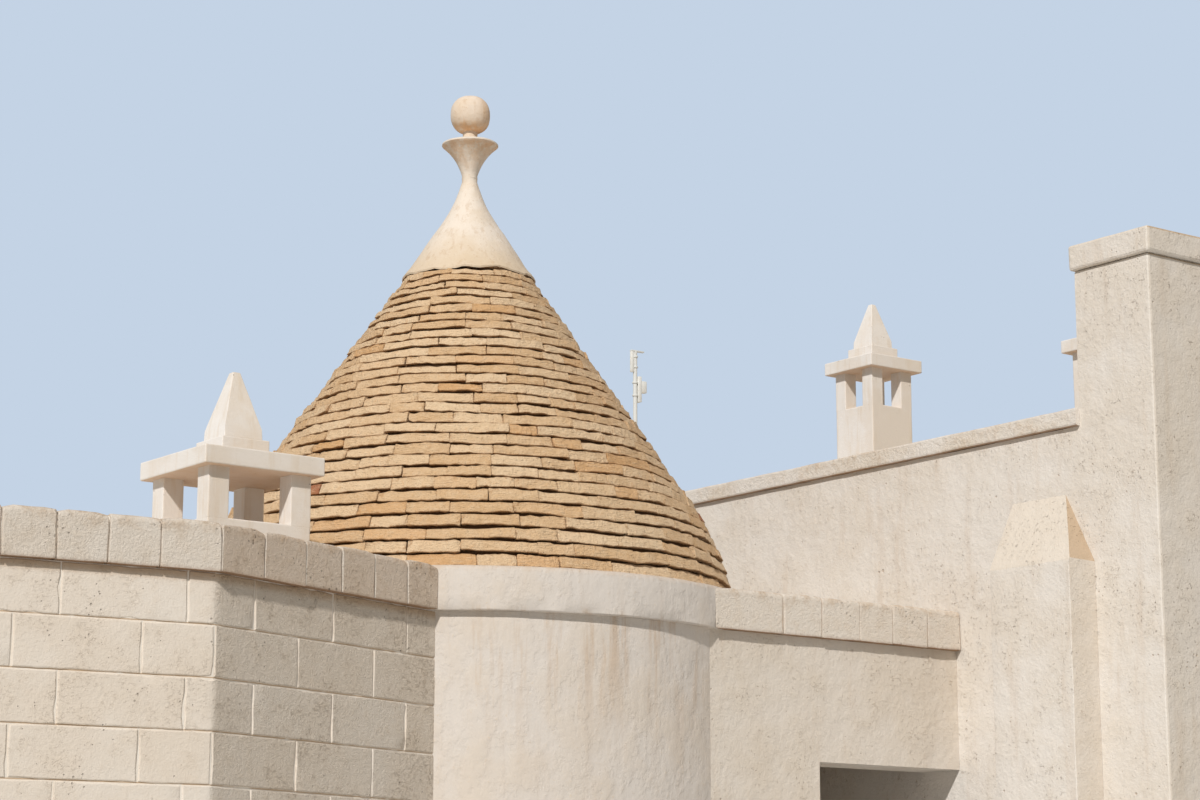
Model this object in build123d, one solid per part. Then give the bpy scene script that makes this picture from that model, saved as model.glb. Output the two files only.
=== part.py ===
from build123d import *
import math
import os

os.makedirs("parts", exist_ok=True)

# A trullo house: a round drum with a stone cone between two flat-roofed wings.
# Millimetres. The origin is on the axis of the drum at ground level, +Z is up,
# -Y is the front and +X runs towards the taller wing.

# Heights shared by the drum and the low wings
block_course = 250
low_wall_courses = 14
coping_height = 240
floor_thickness = 120
low_roof_thickness = 180
low_roof_below_coping_top = 140

low_wall_top = block_course * low_wall_courses
coping_top = low_wall_top + coping_height
low_roof_top = coping_top - low_roof_below_coping_top

# Round drum and the passages from it into the wings
drum_radius = 1620
drum_wall = 470
drum_coping_projection = 45
passage_width = 800
passage_height = 2000

# Stone cone: courses of flat slabs on a straight slope above a rounded foot
cone_foot_radius = 1560
cone_slope_angle = 34.6
cone_knee_radius = 1332
cone_knee_height = 570
bottom_course = 77
top_course = 51.4
cone_courses = 31
slab_length = 270
course_turn_angle = 137.5

# The room's vault closes under the flat stones of one of the courses
vault_courses = 17
vault_eye_radius = 300

# Plastered tip, cup and ball on top of the cone
tip_radius = 346
tip_lower_height = 235
tip_lower_radius = 216
tip_bow_height = 420
tip_bow_radius = 103
tip_height = 590
neck_radius = 47
cup_flare_height = 127
cup_flare_radius = 96
cup_height = 205
cup_radius = 170
cup_edge = 12
cup_crown = 50
ball_radius = 119
ball_stub_radius = 44
ball_stub_height = 24

# West wing: block walls with a bend in front, mirrored behind
low_wall_thickness = 300
west_bend_x = -2665
west_bend_y = 1819
west_end_x = -5500
west_taper_angle = 7
west_flank_angle = 19.65
flank_meets_drum_angle = 49.5
low_coping_projection = 45
coping_edge_radius = 28

# Link between the drum and the east wing, with the front doorway
link_face_y = 1500
doorway_width = 1100
doorway_height = 2800

# East wing: higher rendered walls
east_face_x = 2510
east_length_x = 4190
east_front_y = -3110
east_depth_y = 6710
east_wall_thickness = 300
east_coping_top = 4810
east_coping_height = 105
east_coping_projection = 30
east_roof_below_coping_top = 210
east_roof_thickness = 180
east_passage_width = 900

# Square stack on the front corner of the east wing and its buttress
stack_length_x = 900
stack_depth_y = 562
stack_top = 5770
stack_cap_height = 153
stack_cap_projection = 25
buttress_past_stack = 78
buttress_width = 626
buttress_projection = 210
buttress_pier_top = 3910
buttress_batter_height = 410
buttress_hip = 205

# Four-post chimney on the west roof, set back from the bend in the front wall
west_chimney_from_bend_x = 611
west_chimney_from_bend_y = 965
west_chimney_base_height = 288
west_chimney_slab = 700
west_chimney_slab_height = 97
west_chimney_overhang = 50
west_chimney_post = 120
west_chimney_opening = 260
west_chimney_plinth = 280
west_chimney_plinth_height = 98
west_chimney_point = 225
west_chimney_skirt = 60
west_chimney_tip = 44
west_chimney_point_height = 368

# Small chimneys on the east roof, set back from its west face and its front
small_chimney_1_from_face = 515
small_chimney_1_from_front = 2835
small_chimney_2_from_face = 1255
small_chimney_2_from_front = 1425
small_chimney_shaft_height = 622
small_chimney_slab = 450
small_chimney_slab_height = 82
small_chimney_overhang = 50
small_chimney_post = 95
small_chimney_opening = 238
small_chimney_plinth = 230
small_chimney_plinth_height = 87
small_chimney_point = 181
small_chimney_skirt = 50
small_chimney_tip = 34
small_chimney_point_height = 302

# Mast on the east roof, with a flat bar across its top
mast_from_face = 850
mast_from_back = 900
mast_radius = 17
mast_height = 1592
mast_bar_length = 120
mast_bar_width = 26
mast_bar_height = 10
panel_width = 24
panel_height = 160
box_width = 30
box_depth = 48
box_height = 196
box_below_mast_top = 190
side_box_width = 52
side_box_depth = 40
side_box_height = 88
side_box_below_box_top = 32

east_back_y = east_front_y + east_depth_y
east_end_x = east_face_x + east_length_x
east_wall_top = east_coping_top - east_coping_height
east_roof_top = east_coping_top - east_roof_below_coping_top
room_radius = drum_radius - drum_wall


def course_level(courses):
    """Height above the coping after a number of courses, which thin out towards the top."""
    thinning = (bottom_course - top_course) / (cone_courses - 1)
    return courses * bottom_course - thinning * courses * (courses - 1) / 2


cone_top = coping_top + course_level(cone_courses)
vault_top = coping_top + course_level(vault_courses)


def save(shape, name):
    export_step(shape, f"parts/{name}.step")


def block(x_range, y_range, z_range):
    """A plain slab between two values on each axis."""
    size = [high - low for low, high in (x_range, y_range, z_range)]
    low_corner = (x_range[0], y_range[0], z_range[0])
    return Pos(*low_corner) * Box(*size, align=(Align.MIN, Align.MIN, Align.MIN))


def upright(width, depth, height, x, y, z):
    """A square-cut post or slab standing on z, centred on x and y."""
    return Pos(x, y, z) * Box(width, depth, height, align=(Align.CENTER, Align.CENTER, Align.MIN))


def prism(points, z_low, z_high):
    """A vertical prism over a plan of corner points."""
    plan = make_face(Polyline(*points, close=True))
    return extrude(Pos(0, 0, z_low) * plan, z_high - z_low, dir=(0, 0, 1))


def column(radius, z_low, z_high):
    """A solid cylinder on the drum's axis."""
    return Pos(0, 0, z_low) * Cylinder(radius, z_high - z_low, align=(Align.CENTER, Align.CENTER, Align.MIN))


def ring(inner, outer, z_low, z_high):
    """A round band of masonry on the drum's axis."""
    return column(outer, z_low, z_high) - column(inner, z_low, z_high)


def outside_drum(shape):
    """The part of a wall, slab or coping that ends on the drum and its coping."""
    coping = column(drum_radius + drum_coping_projection, low_wall_top, coping_top)
    return shape - column(drum_radius, 0, low_wall_top) - coping


# Plan lines


def sideways(start, end, distance):
    """The line from start to end, moved to its left by a distance."""
    left = (end - start).normalized().rotate(Axis.Z, 90) * distance
    return start + left, end + left


def crossing(first, second):
    """Where two plan lines meet."""
    a, b = first
    c, d = second
    along = b - a
    other = d - c
    share = (c - a).cross(other).Z / along.cross(other).Z
    return a + along * share


def moved_run(points, distance):
    """The corners of an open run of walls, moved to its left and mitred again."""
    lines = [sideways(a, b, distance) for a, b in zip(points, points[1:])]
    corners = [crossing(first, second) for first, second in zip(lines, lines[1:])]
    return [lines[0][0], *corners, lines[-1][1]]


def west_run():
    """Outer face of the west wing's walls, from the drum's back round to its front."""
    flank_end_x = -(drum_radius - drum_wall / 2) * math.cos(math.radians(flank_meets_drum_angle))
    flank_rise = (flank_end_x - west_bend_x) * math.tan(math.radians(west_flank_angle))
    end_fall = (west_bend_x - west_end_x) * math.tan(math.radians(west_taper_angle))
    front = [
        Vector(west_end_x, end_fall - west_bend_y),
        Vector(west_bend_x, -west_bend_y),
        Vector(flank_end_x, flank_rise - west_bend_y),
    ]
    back = [Vector(corner.X, -corner.Y) for corner in reversed(front)]
    return back + front


# Drum


def drum_walls():
    passage = block((-drum_radius, drum_radius), (-passage_width / 2, passage_width / 2), (0, passage_height))
    lower = ring(room_radius, drum_radius, 0, passage_height) - passage
    for side, name in ((-1, "drum_wall_front"), (1, "drum_wall_back")):
        half = upright(drum_radius * 2, drum_radius, passage_height, 0, side * drum_radius / 2, 0)
        save(lower & half, name)
    save(ring(room_radius, drum_radius, passage_height, low_wall_top), "drum_wall_upper")
    coping = column(drum_radius + drum_coping_projection, low_wall_top, coping_top)
    coping = fillet(coping.edges().sort_by(Axis.Z)[-1], coping_edge_radius)
    save(coping - column(room_radius, low_wall_top, coping_top), "drum_coping")

    # The floor runs on through both passages to the outer face of the drum
    threshold = block((-drum_radius, drum_radius), (-passage_width / 2, passage_width / 2), (0, floor_thickness))
    floor = column(room_radius, 0, floor_thickness) + (threshold & column(drum_radius, 0, floor_thickness))
    save(floor, "trullo_floor")


# Cone


def cone_radius(z):
    """Outer radius of the cone: an arc from its foot up to the knee, then a straight slope."""
    slope = math.radians(cone_slope_angle)
    rise = z - coping_top - cone_knee_height
    if rise >= 0:
        return cone_knee_radius - rise * math.tan(slope)
    out = cone_foot_radius - cone_knee_radius
    sag = cone_knee_height * math.sin(slope) - out * math.cos(slope)
    arc_radius = (out**2 + cone_knee_height**2) / (2 * sag)
    centre_r = cone_knee_radius - arc_radius * math.cos(slope)
    return centre_r + math.sqrt(arc_radius**2 - (rise + arc_radius * math.sin(slope)) ** 2)


def course(number):
    """One course of flat-faced slabs, turned so that its corners miss those below."""
    low = coping_top + course_level(number)
    high = coping_top + course_level(number + 1)
    face = cone_radius(high)
    slabs = round(2 * math.pi * face / slab_length)
    plan = Rot(0, 0, number * course_turn_angle) * RegularPolygon(face, slabs, major_radius=False)
    return extrude(Pos(0, 0, low) * plan, high - low, dir=(0, 0, 1))


def stacked(first, last):
    """The courses from first up to last, laid on each other as one mass."""
    return course(first).fuse(*[course(number) for number in range(first + 1, last)])


def cone():
    """The hollow lower cone round the room's vault, and the filled top over the closing stones."""
    vault = Cone(room_radius, vault_eye_radius, vault_top - coping_top, align=(Align.CENTER, Align.CENTER, Align.MIN))
    shell = stacked(0, vault_courses) - Pos(0, 0, coping_top) * vault
    for side, name in ((-1, "cone_shell_front"), (1, "cone_shell_back")):
        span = cone_foot_radius * 2
        half = upright(span, span, vault_top - coping_top, 0, side * span / 2, coping_top)
        save(shell & half, name)
    save(stacked(vault_courses, cone_courses), "cone_top")


# Pinnacle


def turned(outline):
    """A solid turned about the drum's axis from a closed outline of radius and height."""
    return revolve(Plane.XZ * make_face(Curve() + outline), Axis.Z)


def pinnacle():
    tip_top = cone_top + tip_height
    bow = (tip_bow_radius, cone_top + tip_bow_height)
    lower = (tip_lower_radius, cone_top + tip_lower_height)
    tip = [
        Line((0, cone_top), (tip_radius, cone_top)),
        Line((tip_radius, cone_top), lower),
        ThreePointArc(lower, bow, (neck_radius, tip_top)),
        Line((neck_radius, tip_top), (0, tip_top)),
        Line((0, tip_top), (0, cone_top)),
    ]
    save(turned(tip), "plaster_tip")

    rim_z = tip_top + cup_height
    crown_z = rim_z + cup_edge + cup_crown
    flare = (cup_flare_radius, tip_top + cup_flare_height)
    cup = [
        Line((0, tip_top), (neck_radius, tip_top)),
        ThreePointArc((neck_radius, tip_top), flare, (cup_radius, rim_z)),
        Line((cup_radius, rim_z), (cup_radius, rim_z + cup_edge)),
        Line((cup_radius, rim_z + cup_edge), (ball_stub_radius, crown_z)),
        Line((ball_stub_radius, crown_z), (0, crown_z)),
        Line((0, crown_z), (0, tip_top)),
    ]
    save(turned(cup), "pinnacle_cup")

    # The ball's stub runs up to where the ball is as wide as the stub
    ball_drop = math.sqrt(ball_radius**2 - ball_stub_radius**2)
    ball_z = crown_z + ball_stub_height + ball_drop
    stub = column(ball_stub_radius, crown_z, ball_z)
    save(Pos(0, 0, ball_z) * Sphere(ball_radius) + stub, "pinnacle_ball")


# West wing


def rounded_coping(coping, edge):
    """Rounds the upper edge of a coping along its outer corner points."""
    raised = [Vector(corner.X, corner.Y, coping_top) for corner in edge]
    middles = [(a + b) / 2 for a, b in zip(raised, raised[1:])]
    outer = coping.edges().filter_by(lambda e: any((e.center() - m).length < 1 for m in middles))
    return fillet(outer, coping_edge_radius)


def west_wing():
    outer = west_run()
    inner = moved_run(outer, low_wall_thickness)
    names = ("west_back_flank_wall", "west_back_wall", "west_end_wall", "west_front_wall", "west_flank_wall")
    for name, a, b, c, d in zip(names, outer, outer[1:], inner[1:], inner):
        save(outside_drum(prism([a, b, c, d], 0, low_wall_top)), name)

    # One coping runs round the wing from the drum to the drum
    edge = moved_run(outer, -low_coping_projection)
    coping = rounded_coping(prism(edge + inner[::-1], low_wall_top, coping_top), edge)
    save(outside_drum(coping), "west_coping")

    save(outside_drum(prism(inner, low_roof_top - low_roof_thickness, low_roof_top)), "west_roof")
    save(outside_drum(prism(inner, 0, floor_thickness)), "west_floor")


# Link


def link():
    span = (0, east_face_x)
    inner_y = link_face_y - low_wall_thickness
    coping_y = link_face_y + low_coping_projection
    front = (-link_face_y, -inner_y)
    door_left = east_face_x - doorway_width
    save(outside_drum(block((0, door_left), front, (0, low_wall_top))), "link_front_wall")
    save(block((door_left, east_face_x), front, (doorway_height, low_wall_top)), "link_doorway_head")
    save(outside_drum(block(span, (inner_y, link_face_y), (0, low_wall_top))), "link_back_wall")
    height = (low_wall_top, coping_top)
    for side, name in ((-1, "link_front_coping"), (1, "link_back_coping")):
        edge = [Vector(0, side * coping_y), Vector(east_face_x, side * coping_y)]
        y_range = sorted((side * inner_y, side * coping_y))
        save(outside_drum(rounded_coping(block(span, y_range, height), edge)), name)
    roof = (low_roof_top - low_roof_thickness, low_roof_top)
    save(outside_drum(block(span, (-inner_y, inner_y), roof)), "link_roof")
    floor = outside_drum(block(span, (-inner_y, inner_y), (0, floor_thickness)))
    threshold = block((door_left, east_face_x), front, (0, floor_thickness))
    save(floor + threshold, "link_floor")


# East wing


def east_wing():
    inner_x = east_face_x + east_wall_thickness
    inner_end_x = east_end_x - east_wall_thickness
    inner_front_y = east_front_y + east_wall_thickness
    inner_back_y = east_back_y - east_wall_thickness
    stack_back_y = east_front_y + stack_depth_y
    stack_end_x = east_face_x + stack_length_x
    full = (0, east_wall_top)
    west_x = (east_face_x, inner_x)
    side = east_passage_width / 2

    save(block(west_x, (stack_back_y, -side), full), "east_wing_west_wall_front")
    save(block(west_x, (side, east_back_y), full), "east_wing_west_wall_back")
    save(block(west_x, (-side, side), (passage_height, east_wall_top)), "east_wing_passage_head")
    save(block((stack_end_x, inner_end_x), (east_front_y, inner_front_y), full), "east_wing_front_wall")
    save(block((inner_end_x, east_end_x), (east_front_y, east_back_y), full), "east_wing_end_wall")
    save(block((inner_x, inner_end_x), (inner_back_y, east_back_y), full), "east_wing_back_wall")

    inside_x = (inner_x, inner_end_x)
    inside_y = (inner_front_y, inner_back_y)
    stack_hole = block((0, stack_end_x), (east_front_y * 2, stack_back_y), (0, stack_top))
    roof = block(inside_x, inside_y, (east_roof_top - east_roof_thickness, east_roof_top)) - stack_hole
    save(roof, "east_wing_roof")
    floor = block(inside_x, inside_y, (0, floor_thickness)) - stack_hole
    save(floor + block(west_x, (-side, side), (0, floor_thickness)), "east_wing_floor")

    out = east_coping_projection
    height = (east_wall_top, east_coping_top)
    band = block((east_face_x - out, east_end_x + out), (east_front_y - out, east_back_y + out), height)
    save(band - block(inside_x, inside_y, height) - stack_hole, "east_wing_coping")


def stack():
    x = (east_face_x, east_face_x + stack_length_x)
    y = (east_front_y, east_front_y + stack_depth_y)
    shaft_top = stack_top - stack_cap_height
    save(block(x, y, (0, shaft_top)), "stack_shaft")
    out = stack_cap_projection
    cap = block((x[0] - out, x[1] + out), (y[0] - out, y[1] + out), (shaft_top, stack_top))
    save(cap, "stack_cap")


def buttress():
    """A pier against the east wing beside the stack, its top battered to the wall on two sides."""
    foot = east_face_x - buttress_projection
    top = buttress_pier_top + buttress_batter_height
    start = east_front_y + stack_depth_y - buttress_past_stack
    end = start + buttress_width
    side = [(foot, 0), (east_face_x, 0), (east_face_x, top), (foot, buttress_pier_top)]
    front = [(start, 0), (end, 0), (end, top), (start + buttress_hip, top), (start, buttress_pier_top)]
    along_wall = extrude(Plane.XZ * make_face(Polyline(*side, close=True)), -start, dir=(0, -1, 0))
    off_wall = extrude(Plane.YZ * make_face(Polyline(*front, close=True)), east_face_x, dir=(1, 0, 0))
    save(along_wall & off_wall, "buttress")


# Chimneys


def tapered(width, tip, height, x, y, z):
    """A pyramid cut blunt at its tip."""
    angle = math.degrees(math.atan((width - tip) / 2 / height))
    return extrude(Pos(x, y, z) * Rectangle(width, width), height, dir=(0, 0, 1), taper=angle)


class Chimney:
    """An open lantern on four posts, with a slab and a blunt pyramid over it."""

    def __init__(self, x, y, sill, slab, slab_height, overhang, post, opening):
        self.x = x
        self.y = y
        self.sill = sill
        self.slab_width = slab
        self.slab_height = slab_height
        self.shaft = slab - 2 * overhang
        self.post = post
        self.opening = opening
        self.slab_top = sill + opening + slab_height

    def base(self, roof):
        """The block under the posts, standing on the roof."""
        return upright(self.shaft, self.shaft, self.sill - roof, self.x, self.y, roof)

    def posts(self):
        """Square posts, flush with the block below them."""
        reach = (self.shaft - self.post) / 2
        places = [(self.x + dx, self.y + dy) for dx in (-reach, reach) for dy in (-reach, reach)]
        return [upright(self.post, self.post, self.opening, x, y, self.sill) for x, y in places]

    def slab(self):
        return upright(self.slab_width, self.slab_width, self.slab_height, self.x, self.y, self.sill + self.opening)

    def point(self, plinth, plinth_height, width, skirt_height, tip, height):
        """The plinth with the pyramid and the short upright skirt between them."""
        low = upright(plinth, plinth, plinth_height, self.x, self.y, self.slab_top)
        skirt_z = self.slab_top + plinth_height
        skirt = upright(width, width, skirt_height, self.x, self.y, skirt_z)
        pyramid = tapered(width, tip, height - skirt_height, self.x, self.y, skirt_z + skirt_height)
        return low + skirt + pyramid


def west_chimney():
    chimney = Chimney(
        west_bend_x + west_chimney_from_bend_x,
        west_chimney_from_bend_y - west_bend_y,
        low_roof_top + west_chimney_base_height,
        west_chimney_slab,
        west_chimney_slab_height,
        west_chimney_overhang,
        west_chimney_post,
        west_chimney_opening,
    )
    save(chimney.base(low_roof_top), "west_chimney_base")
    save(Compound(children=chimney.posts()), "west_chimney_posts")
    save(chimney.slab(), "west_chimney_slab")
    point = chimney.point(
        west_chimney_plinth,
        west_chimney_plinth_height,
        west_chimney_point,
        west_chimney_skirt,
        west_chimney_tip,
        west_chimney_point_height,
    )
    save(point, "west_chimney_point")


def small_chimney(number, from_face, from_front):
    chimney = Chimney(
        east_face_x + from_face,
        east_front_y + from_front,
        east_roof_top + small_chimney_shaft_height,
        small_chimney_slab,
        small_chimney_slab_height,
        small_chimney_overhang,
        small_chimney_post,
        small_chimney_opening,
    )
    name = f"small_chimney_{number}"
    save(chimney.base(east_roof_top).fuse(*chimney.posts()), f"{name}_shaft")
    save(chimney.slab(), f"{name}_slab")
    point = chimney.point(
        small_chimney_plinth,
        small_chimney_plinth_height,
        small_chimney_point,
        small_chimney_skirt,
        small_chimney_tip,
        small_chimney_point_height,
    )
    save(point, f"{name}_point")


# Mast


def mast():
    x = east_face_x + mast_from_face
    y = east_back_y - mast_from_back
    top = east_roof_top + mast_height
    pole = Cylinder(mast_radius, mast_height, align=(Align.CENTER, Align.CENTER, Align.MIN))
    save(Pos(x, y, east_roof_top) * pole, "antenna_mast")
    box_x = x + mast_radius
    box_top = top - box_below_mast_top
    box = upright(box_width, box_depth, box_height, box_x + box_width / 2, y, box_top - box_height)
    side_x = box_x + box_width + side_box_width / 2
    side_z = box_top - side_box_below_box_top - side_box_height
    save(box + upright(side_box_width, side_box_depth, side_box_height, side_x, y, side_z), "antenna_box")
    panel_x = x - mast_radius - panel_width
    panel = upright(panel_width, panel_width, panel_height, panel_x + panel_width / 2, y, top - panel_height)
    save(panel, "antenna_panel")
    bar = upright(mast_bar_length, mast_bar_width, mast_bar_height, panel_x + mast_bar_length / 2, y, top)
    save(bar, "mast_bar")


drum_walls()
cone()
pinnacle()
west_wing()
link()
east_wing()
stack()
buttress()
west_chimney()
small_chimney(1, small_chimney_1_from_face, small_chimney_1_from_front)
small_chimney(2, small_chimney_2_from_face, small_chimney_2_from_front)
mast()
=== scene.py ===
import functools
import math
import random

import bmesh
import bpy
from bpy.props import FloatProperty, FloatVectorProperty, IntProperty, PointerProperty
from bpy.types import Operator, Panel, PropertyGroup
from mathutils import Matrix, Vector, noise


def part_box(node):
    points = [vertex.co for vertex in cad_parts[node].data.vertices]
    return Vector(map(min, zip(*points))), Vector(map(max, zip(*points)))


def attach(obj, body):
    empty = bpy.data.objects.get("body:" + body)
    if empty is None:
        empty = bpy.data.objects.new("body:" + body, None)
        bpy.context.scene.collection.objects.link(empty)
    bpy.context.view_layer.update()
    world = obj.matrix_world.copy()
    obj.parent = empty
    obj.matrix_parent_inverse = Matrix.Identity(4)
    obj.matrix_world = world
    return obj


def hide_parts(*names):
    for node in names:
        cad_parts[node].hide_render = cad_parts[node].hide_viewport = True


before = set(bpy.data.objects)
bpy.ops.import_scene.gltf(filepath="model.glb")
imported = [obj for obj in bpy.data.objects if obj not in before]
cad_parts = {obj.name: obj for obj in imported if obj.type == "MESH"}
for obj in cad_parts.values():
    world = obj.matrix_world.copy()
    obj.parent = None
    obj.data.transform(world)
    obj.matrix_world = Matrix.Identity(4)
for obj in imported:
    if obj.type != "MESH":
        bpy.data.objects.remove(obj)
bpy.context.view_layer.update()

# Blender's noise starts from the clock unless it is given a seed
noise.seed_set(7)

bl_info = {
    "name": "Trullo house",
    "version": (1, 0, 0),
    "blender": (4, 5, 0),
    "location": "3D View > Sidebar > Trullo",
    "description": "Dresses the packed model of a trullo house in stone, plaster and render",
    "category": "Object",
}

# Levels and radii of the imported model, in metres
COPING_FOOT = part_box("drum_coping")[0].z
COPING_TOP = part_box("drum_coping")[1].z
DRUM_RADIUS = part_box("drum_wall_upper")[1].x
DRUM_COPING_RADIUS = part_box("drum_coping")[1].x
ROOM_RADIUS = 1.15
CONE_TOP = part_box("cone_top")[1].z
VAULT_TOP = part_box("cone_top")[0].z
VAULT_EYE_RADIUS = 0.3

# The cone's outline and courses
CONE_FOOT_RADIUS = 1.56
CONE_SLOPE = math.radians(34.6)
CONE_KNEE_RADIUS = 1.332
CONE_KNEE_HEIGHT = 0.57
BOTTOM_COURSE = 0.077
TOP_COURSE = 0.0514
CONE_COURSES = 31
CORE_BEHIND_SLABS = 0.034

# A slab before it is bent and worn, and how unevenly the slabs lie, in metres and radians
SLAB_BLANK = Vector((0.27, 0.12, 0.06))
SLAB_EDGE = 0.004
SLAB_END = 0.02
SLAB_END_GAP = 0.0015
SLAB_USUAL_LENGTH = 0.27
FEWEST_SLABS = 9
RED_LONGEST = 0.19
SLAB_IN_OR_OUT = 0.006
SLAB_THINNER = 0.016
SLAB_TILT = 0.015
SLAB_YAW = 0.01
# Shares of a slab's height and of the cone's radius: how far a face leans back and how flat it is
SLAB_LEAN = (0.34, 0.5)
SLAB_FLATNESS = 0.3

# The tip, cup and ball, as radius and height above the foot of each
TIP_LOWER = (0.216, 0.235)
TIP_BOW = (0.103, 0.42)
TIP_HEIGHT = 0.59
TIP_HEM = 0.045
NECK_RADIUS = 0.047
NECK_STRAIGHT = 0.02
CUP_FLARE = (0.096, 0.127)
CUP_HEIGHT = 0.205
CUP_RADIUS = 0.17
CUP_EDGE = 0.012
CUP_CROWN = 0.05
BALL_RADIUS = 0.119
BALL_STUB_RADIUS = 0.044
BALL_SQUARED = 2.35
# The visual cup's crown is this much lower, so that the ball's stub shows above it
STUB_SHOWS = 0.01

# West wing: its block courses and the corners of its walls
BLOCK_COURSE = 0.25
WALL_COURSES = 14
WALL_THICKNESS = 0.3
COPING_PROJECTION = 0.045
BEND = Vector((-2.665, -1.819))
END_CORNER = Vector((-5.5, -1.471))
FLANK_END = Vector((-0.8995, -1.1886))
END_WALL = (END_CORNER - BEND).length
LINK_FACE = 1.5

# Blanks that the blocks and the coping stones are bent from
BLOCK_HALF_HEIGHT = 0.121
BLOCK_DEPTH = 0.025
BLOCK_EDGE = 0.006
COPING_BLANK_LENGTH = 0.28
COPING_HALF_JOINT = 0.0025
COPING_MEETS_DRUM = DRUM_COPING_RADIUS - 0.004

# Waves that wear them: how often each swings in a metre, and how far
BLOCK_WEAR = ((9, 0.003), (30, 0.0022))
COPING_WEAR = ((8, 0.005), (28, 0.003))
CORNER_WEAR = 0.02
# Holes broken out of the blocks' edges: noise above the first number, times the second
CHIP_LEAST, CHIP_DEPTH = 0.15, 0.014

# Mortar beds between the coping stones: their width, and how far they lie behind the stones' faces
BED_WIDTH = 0.024
BED_BEHIND_BACK = 0.012
BED_BEHIND_FACE = 0.013
BED_BELOW_TOP = 0.015

# Joints between the coping stones, measured along each leg of wall from the photograph
FLANK_COPING_JOINTS = (0.3, 0.61, 0.896, 1.16, 1.436)
FRONT_COPING_JOINTS = (0.295, 0.551, 0.801, 1.062, 1.33, 1.61, 1.87, 2.15, 2.41, 2.66)
LINK_COPING_JOINTS = (1.12, 1.41, 1.7, 1.96, 2.24)
END_COPING_SPACING = 0.275

# East wing: where the buttress starts to slope, and how far back its front slope reaches
PIER_TOP = 3.91
BUTTRESS_HIP = 0.205

# Chimneys: the sides of their posts, and the sizes of their pyramids and of what they stand on
WEST_POST = 0.12
SMALL_POST = 0.095
SMALL_VENT = 0.238
WEST_POINT = {"plinth": 0.098, "width": 0.225, "skirt": 0.06, "tip": 0.044, "edge": 0.006}
SMALL_POINT = {"plinth": 0.087, "width": 0.181, "skirt": 0.05, "tip": 0.034, "edge": 0.005}
POST_LET_IN = 0.01
DRESSED_GRID = 0.09
DRESSED_WEAR = 0.0008

# Least angle between two faces, in degrees, at which shading breaks
CREASE = 40
SLAB_CREASE = 30
DRESSED_CREASE = 16

# Lengths closer than NEAR count as equal, and points closer than WELD are merged, in metres
NEAR = 1e-4
WELD = 1e-5

# The camera stands in front of the house and to its left and looks up
CAMERA_PLACE = (-8.909, -13.085, 1.71)
CAMERA_HEADING = Vector((0.6032, 0.7976))
CAMERA_PITCH = math.radians(11.62)

# The sun stands in front of the house, round to the west, and high
SUN_ROUND_TO_WEST = math.radians(52)
SUN_HEIGHT = math.radians(40)
SUN_SPREAD = math.radians(2.5)
SUN_TINT = (1.0, 0.972, 0.93)
FLOOR_RADIUS = 90


def paint(red, green, blue):
    """A colour as it is seen on a screen, 0 to 255, turned into the light that Blender mixes."""
    channels = (value / 255 for value in (red, green, blue))
    return tuple(c / 12.92 if c <= 0.04045 else ((c + 0.055) / 1.055) ** 2.4 for c in channels)


# Settings


def colour(name, description, red, green, blue):
    """A colour that a user may change."""
    return FloatVectorProperty(
        name=name,
        description=description,
        default=paint(red, green, blue),
        subtype="COLOR",
        size=3,
        min=0,
        max=1,
    )


def length(name, description, metres):
    """A length that a user may change, in metres."""
    return FloatProperty(
        name=name,
        description=description,
        default=metres,
        unit="LENGTH",
        min=0,
        precision=4,
    )


class TrulloColours(PropertyGroup):
    """Colours of the house's stones, plaster and metal"""

    slab_pale: colour("Pale slab", "Colour of the lightest cone slabs", 238, 211, 176)
    slab_honey: colour("Honey slab", "Colour of most of the cone slabs", 217, 179, 135)
    # Also laid as painted warm shade on the ball, on the copings' faces turned away from the sun and
    # under the chimneys' stones
    orange_and_warm_shade: colour("Orange slab", "Colour of the few orange cone slabs", 217, 163, 104)
    slab_red: colour("Red slab", "Colour of the rare red cone slabs", 160, 92, 66)
    # Also laid as painted shade under the copings and the render bands
    edge_earth_and_shade: colour("Slab edges", "Colour of the earth over the slabs' edges", 150, 106, 66)
    joint_earth: colour("Joint earth", "Colour of the earth in the cone's open joints", 92, 68, 46)
    limewash: colour("Limewash", "Colour of the drum and its band", 214, 206, 198)
    plaster: colour("Plaster", "Colour of the cone's tip and its pinnacle", 229, 217, 203)
    # Also laid as painted shade on faces turned away from the sun, and on the south faces of the
    # render and the chimneys
    plaster_stain_and_shade: colour("Plaster stain", "Colour of the weathering on the plaster", 206, 182, 148)
    tufa: colour("Tufa", "Colour of the west wing's blocks", 233, 224, 213)
    tufa_warm: colour("Warm tufa", "Colour of the darker blocks", 222, 206, 187)
    mortar: colour("Mortar", "Colour of the joints between the blocks", 238, 230, 219)
    # Also laid as painted shade below the west coping, in the level joints, in cuts and on the
    # render's south slopes
    ochre_stain_and_shade: colour("Coping stain", "Colour of the ochre stain on the copings", 176, 138, 92)
    # Also laid as painted shade in pits on faces turned away from the sun, and on the render's south
    # faces
    soot_and_shade: colour("Soot", "Colour of the dark lichen on old stone", 84, 68, 54)
    render: colour("Render", "Colour of the east wing's render", 231, 225, 218)
    # Also laid as painted shade on the render's sloping faces
    render_shade: colour("Render patches", "Colour of the render's darker patches", 221, 209, 193)
    chimney: colour("Chimney stone", "Colour of the chimneys' smooth stone", 237, 233, 229)
    screed: colour("Roof screed", "Colour of the flat roofs", 226, 217, 202)
    flag: colour("Floor flags", "Colour of the floors' stone flags", 196, 180, 154)
    mast: colour("Mast paint", "Colour of the painted mast", 222, 222, 218)
    antenna: colour("Antenna plastic", "Colour of the antenna's housings", 232, 232, 228)


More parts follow.
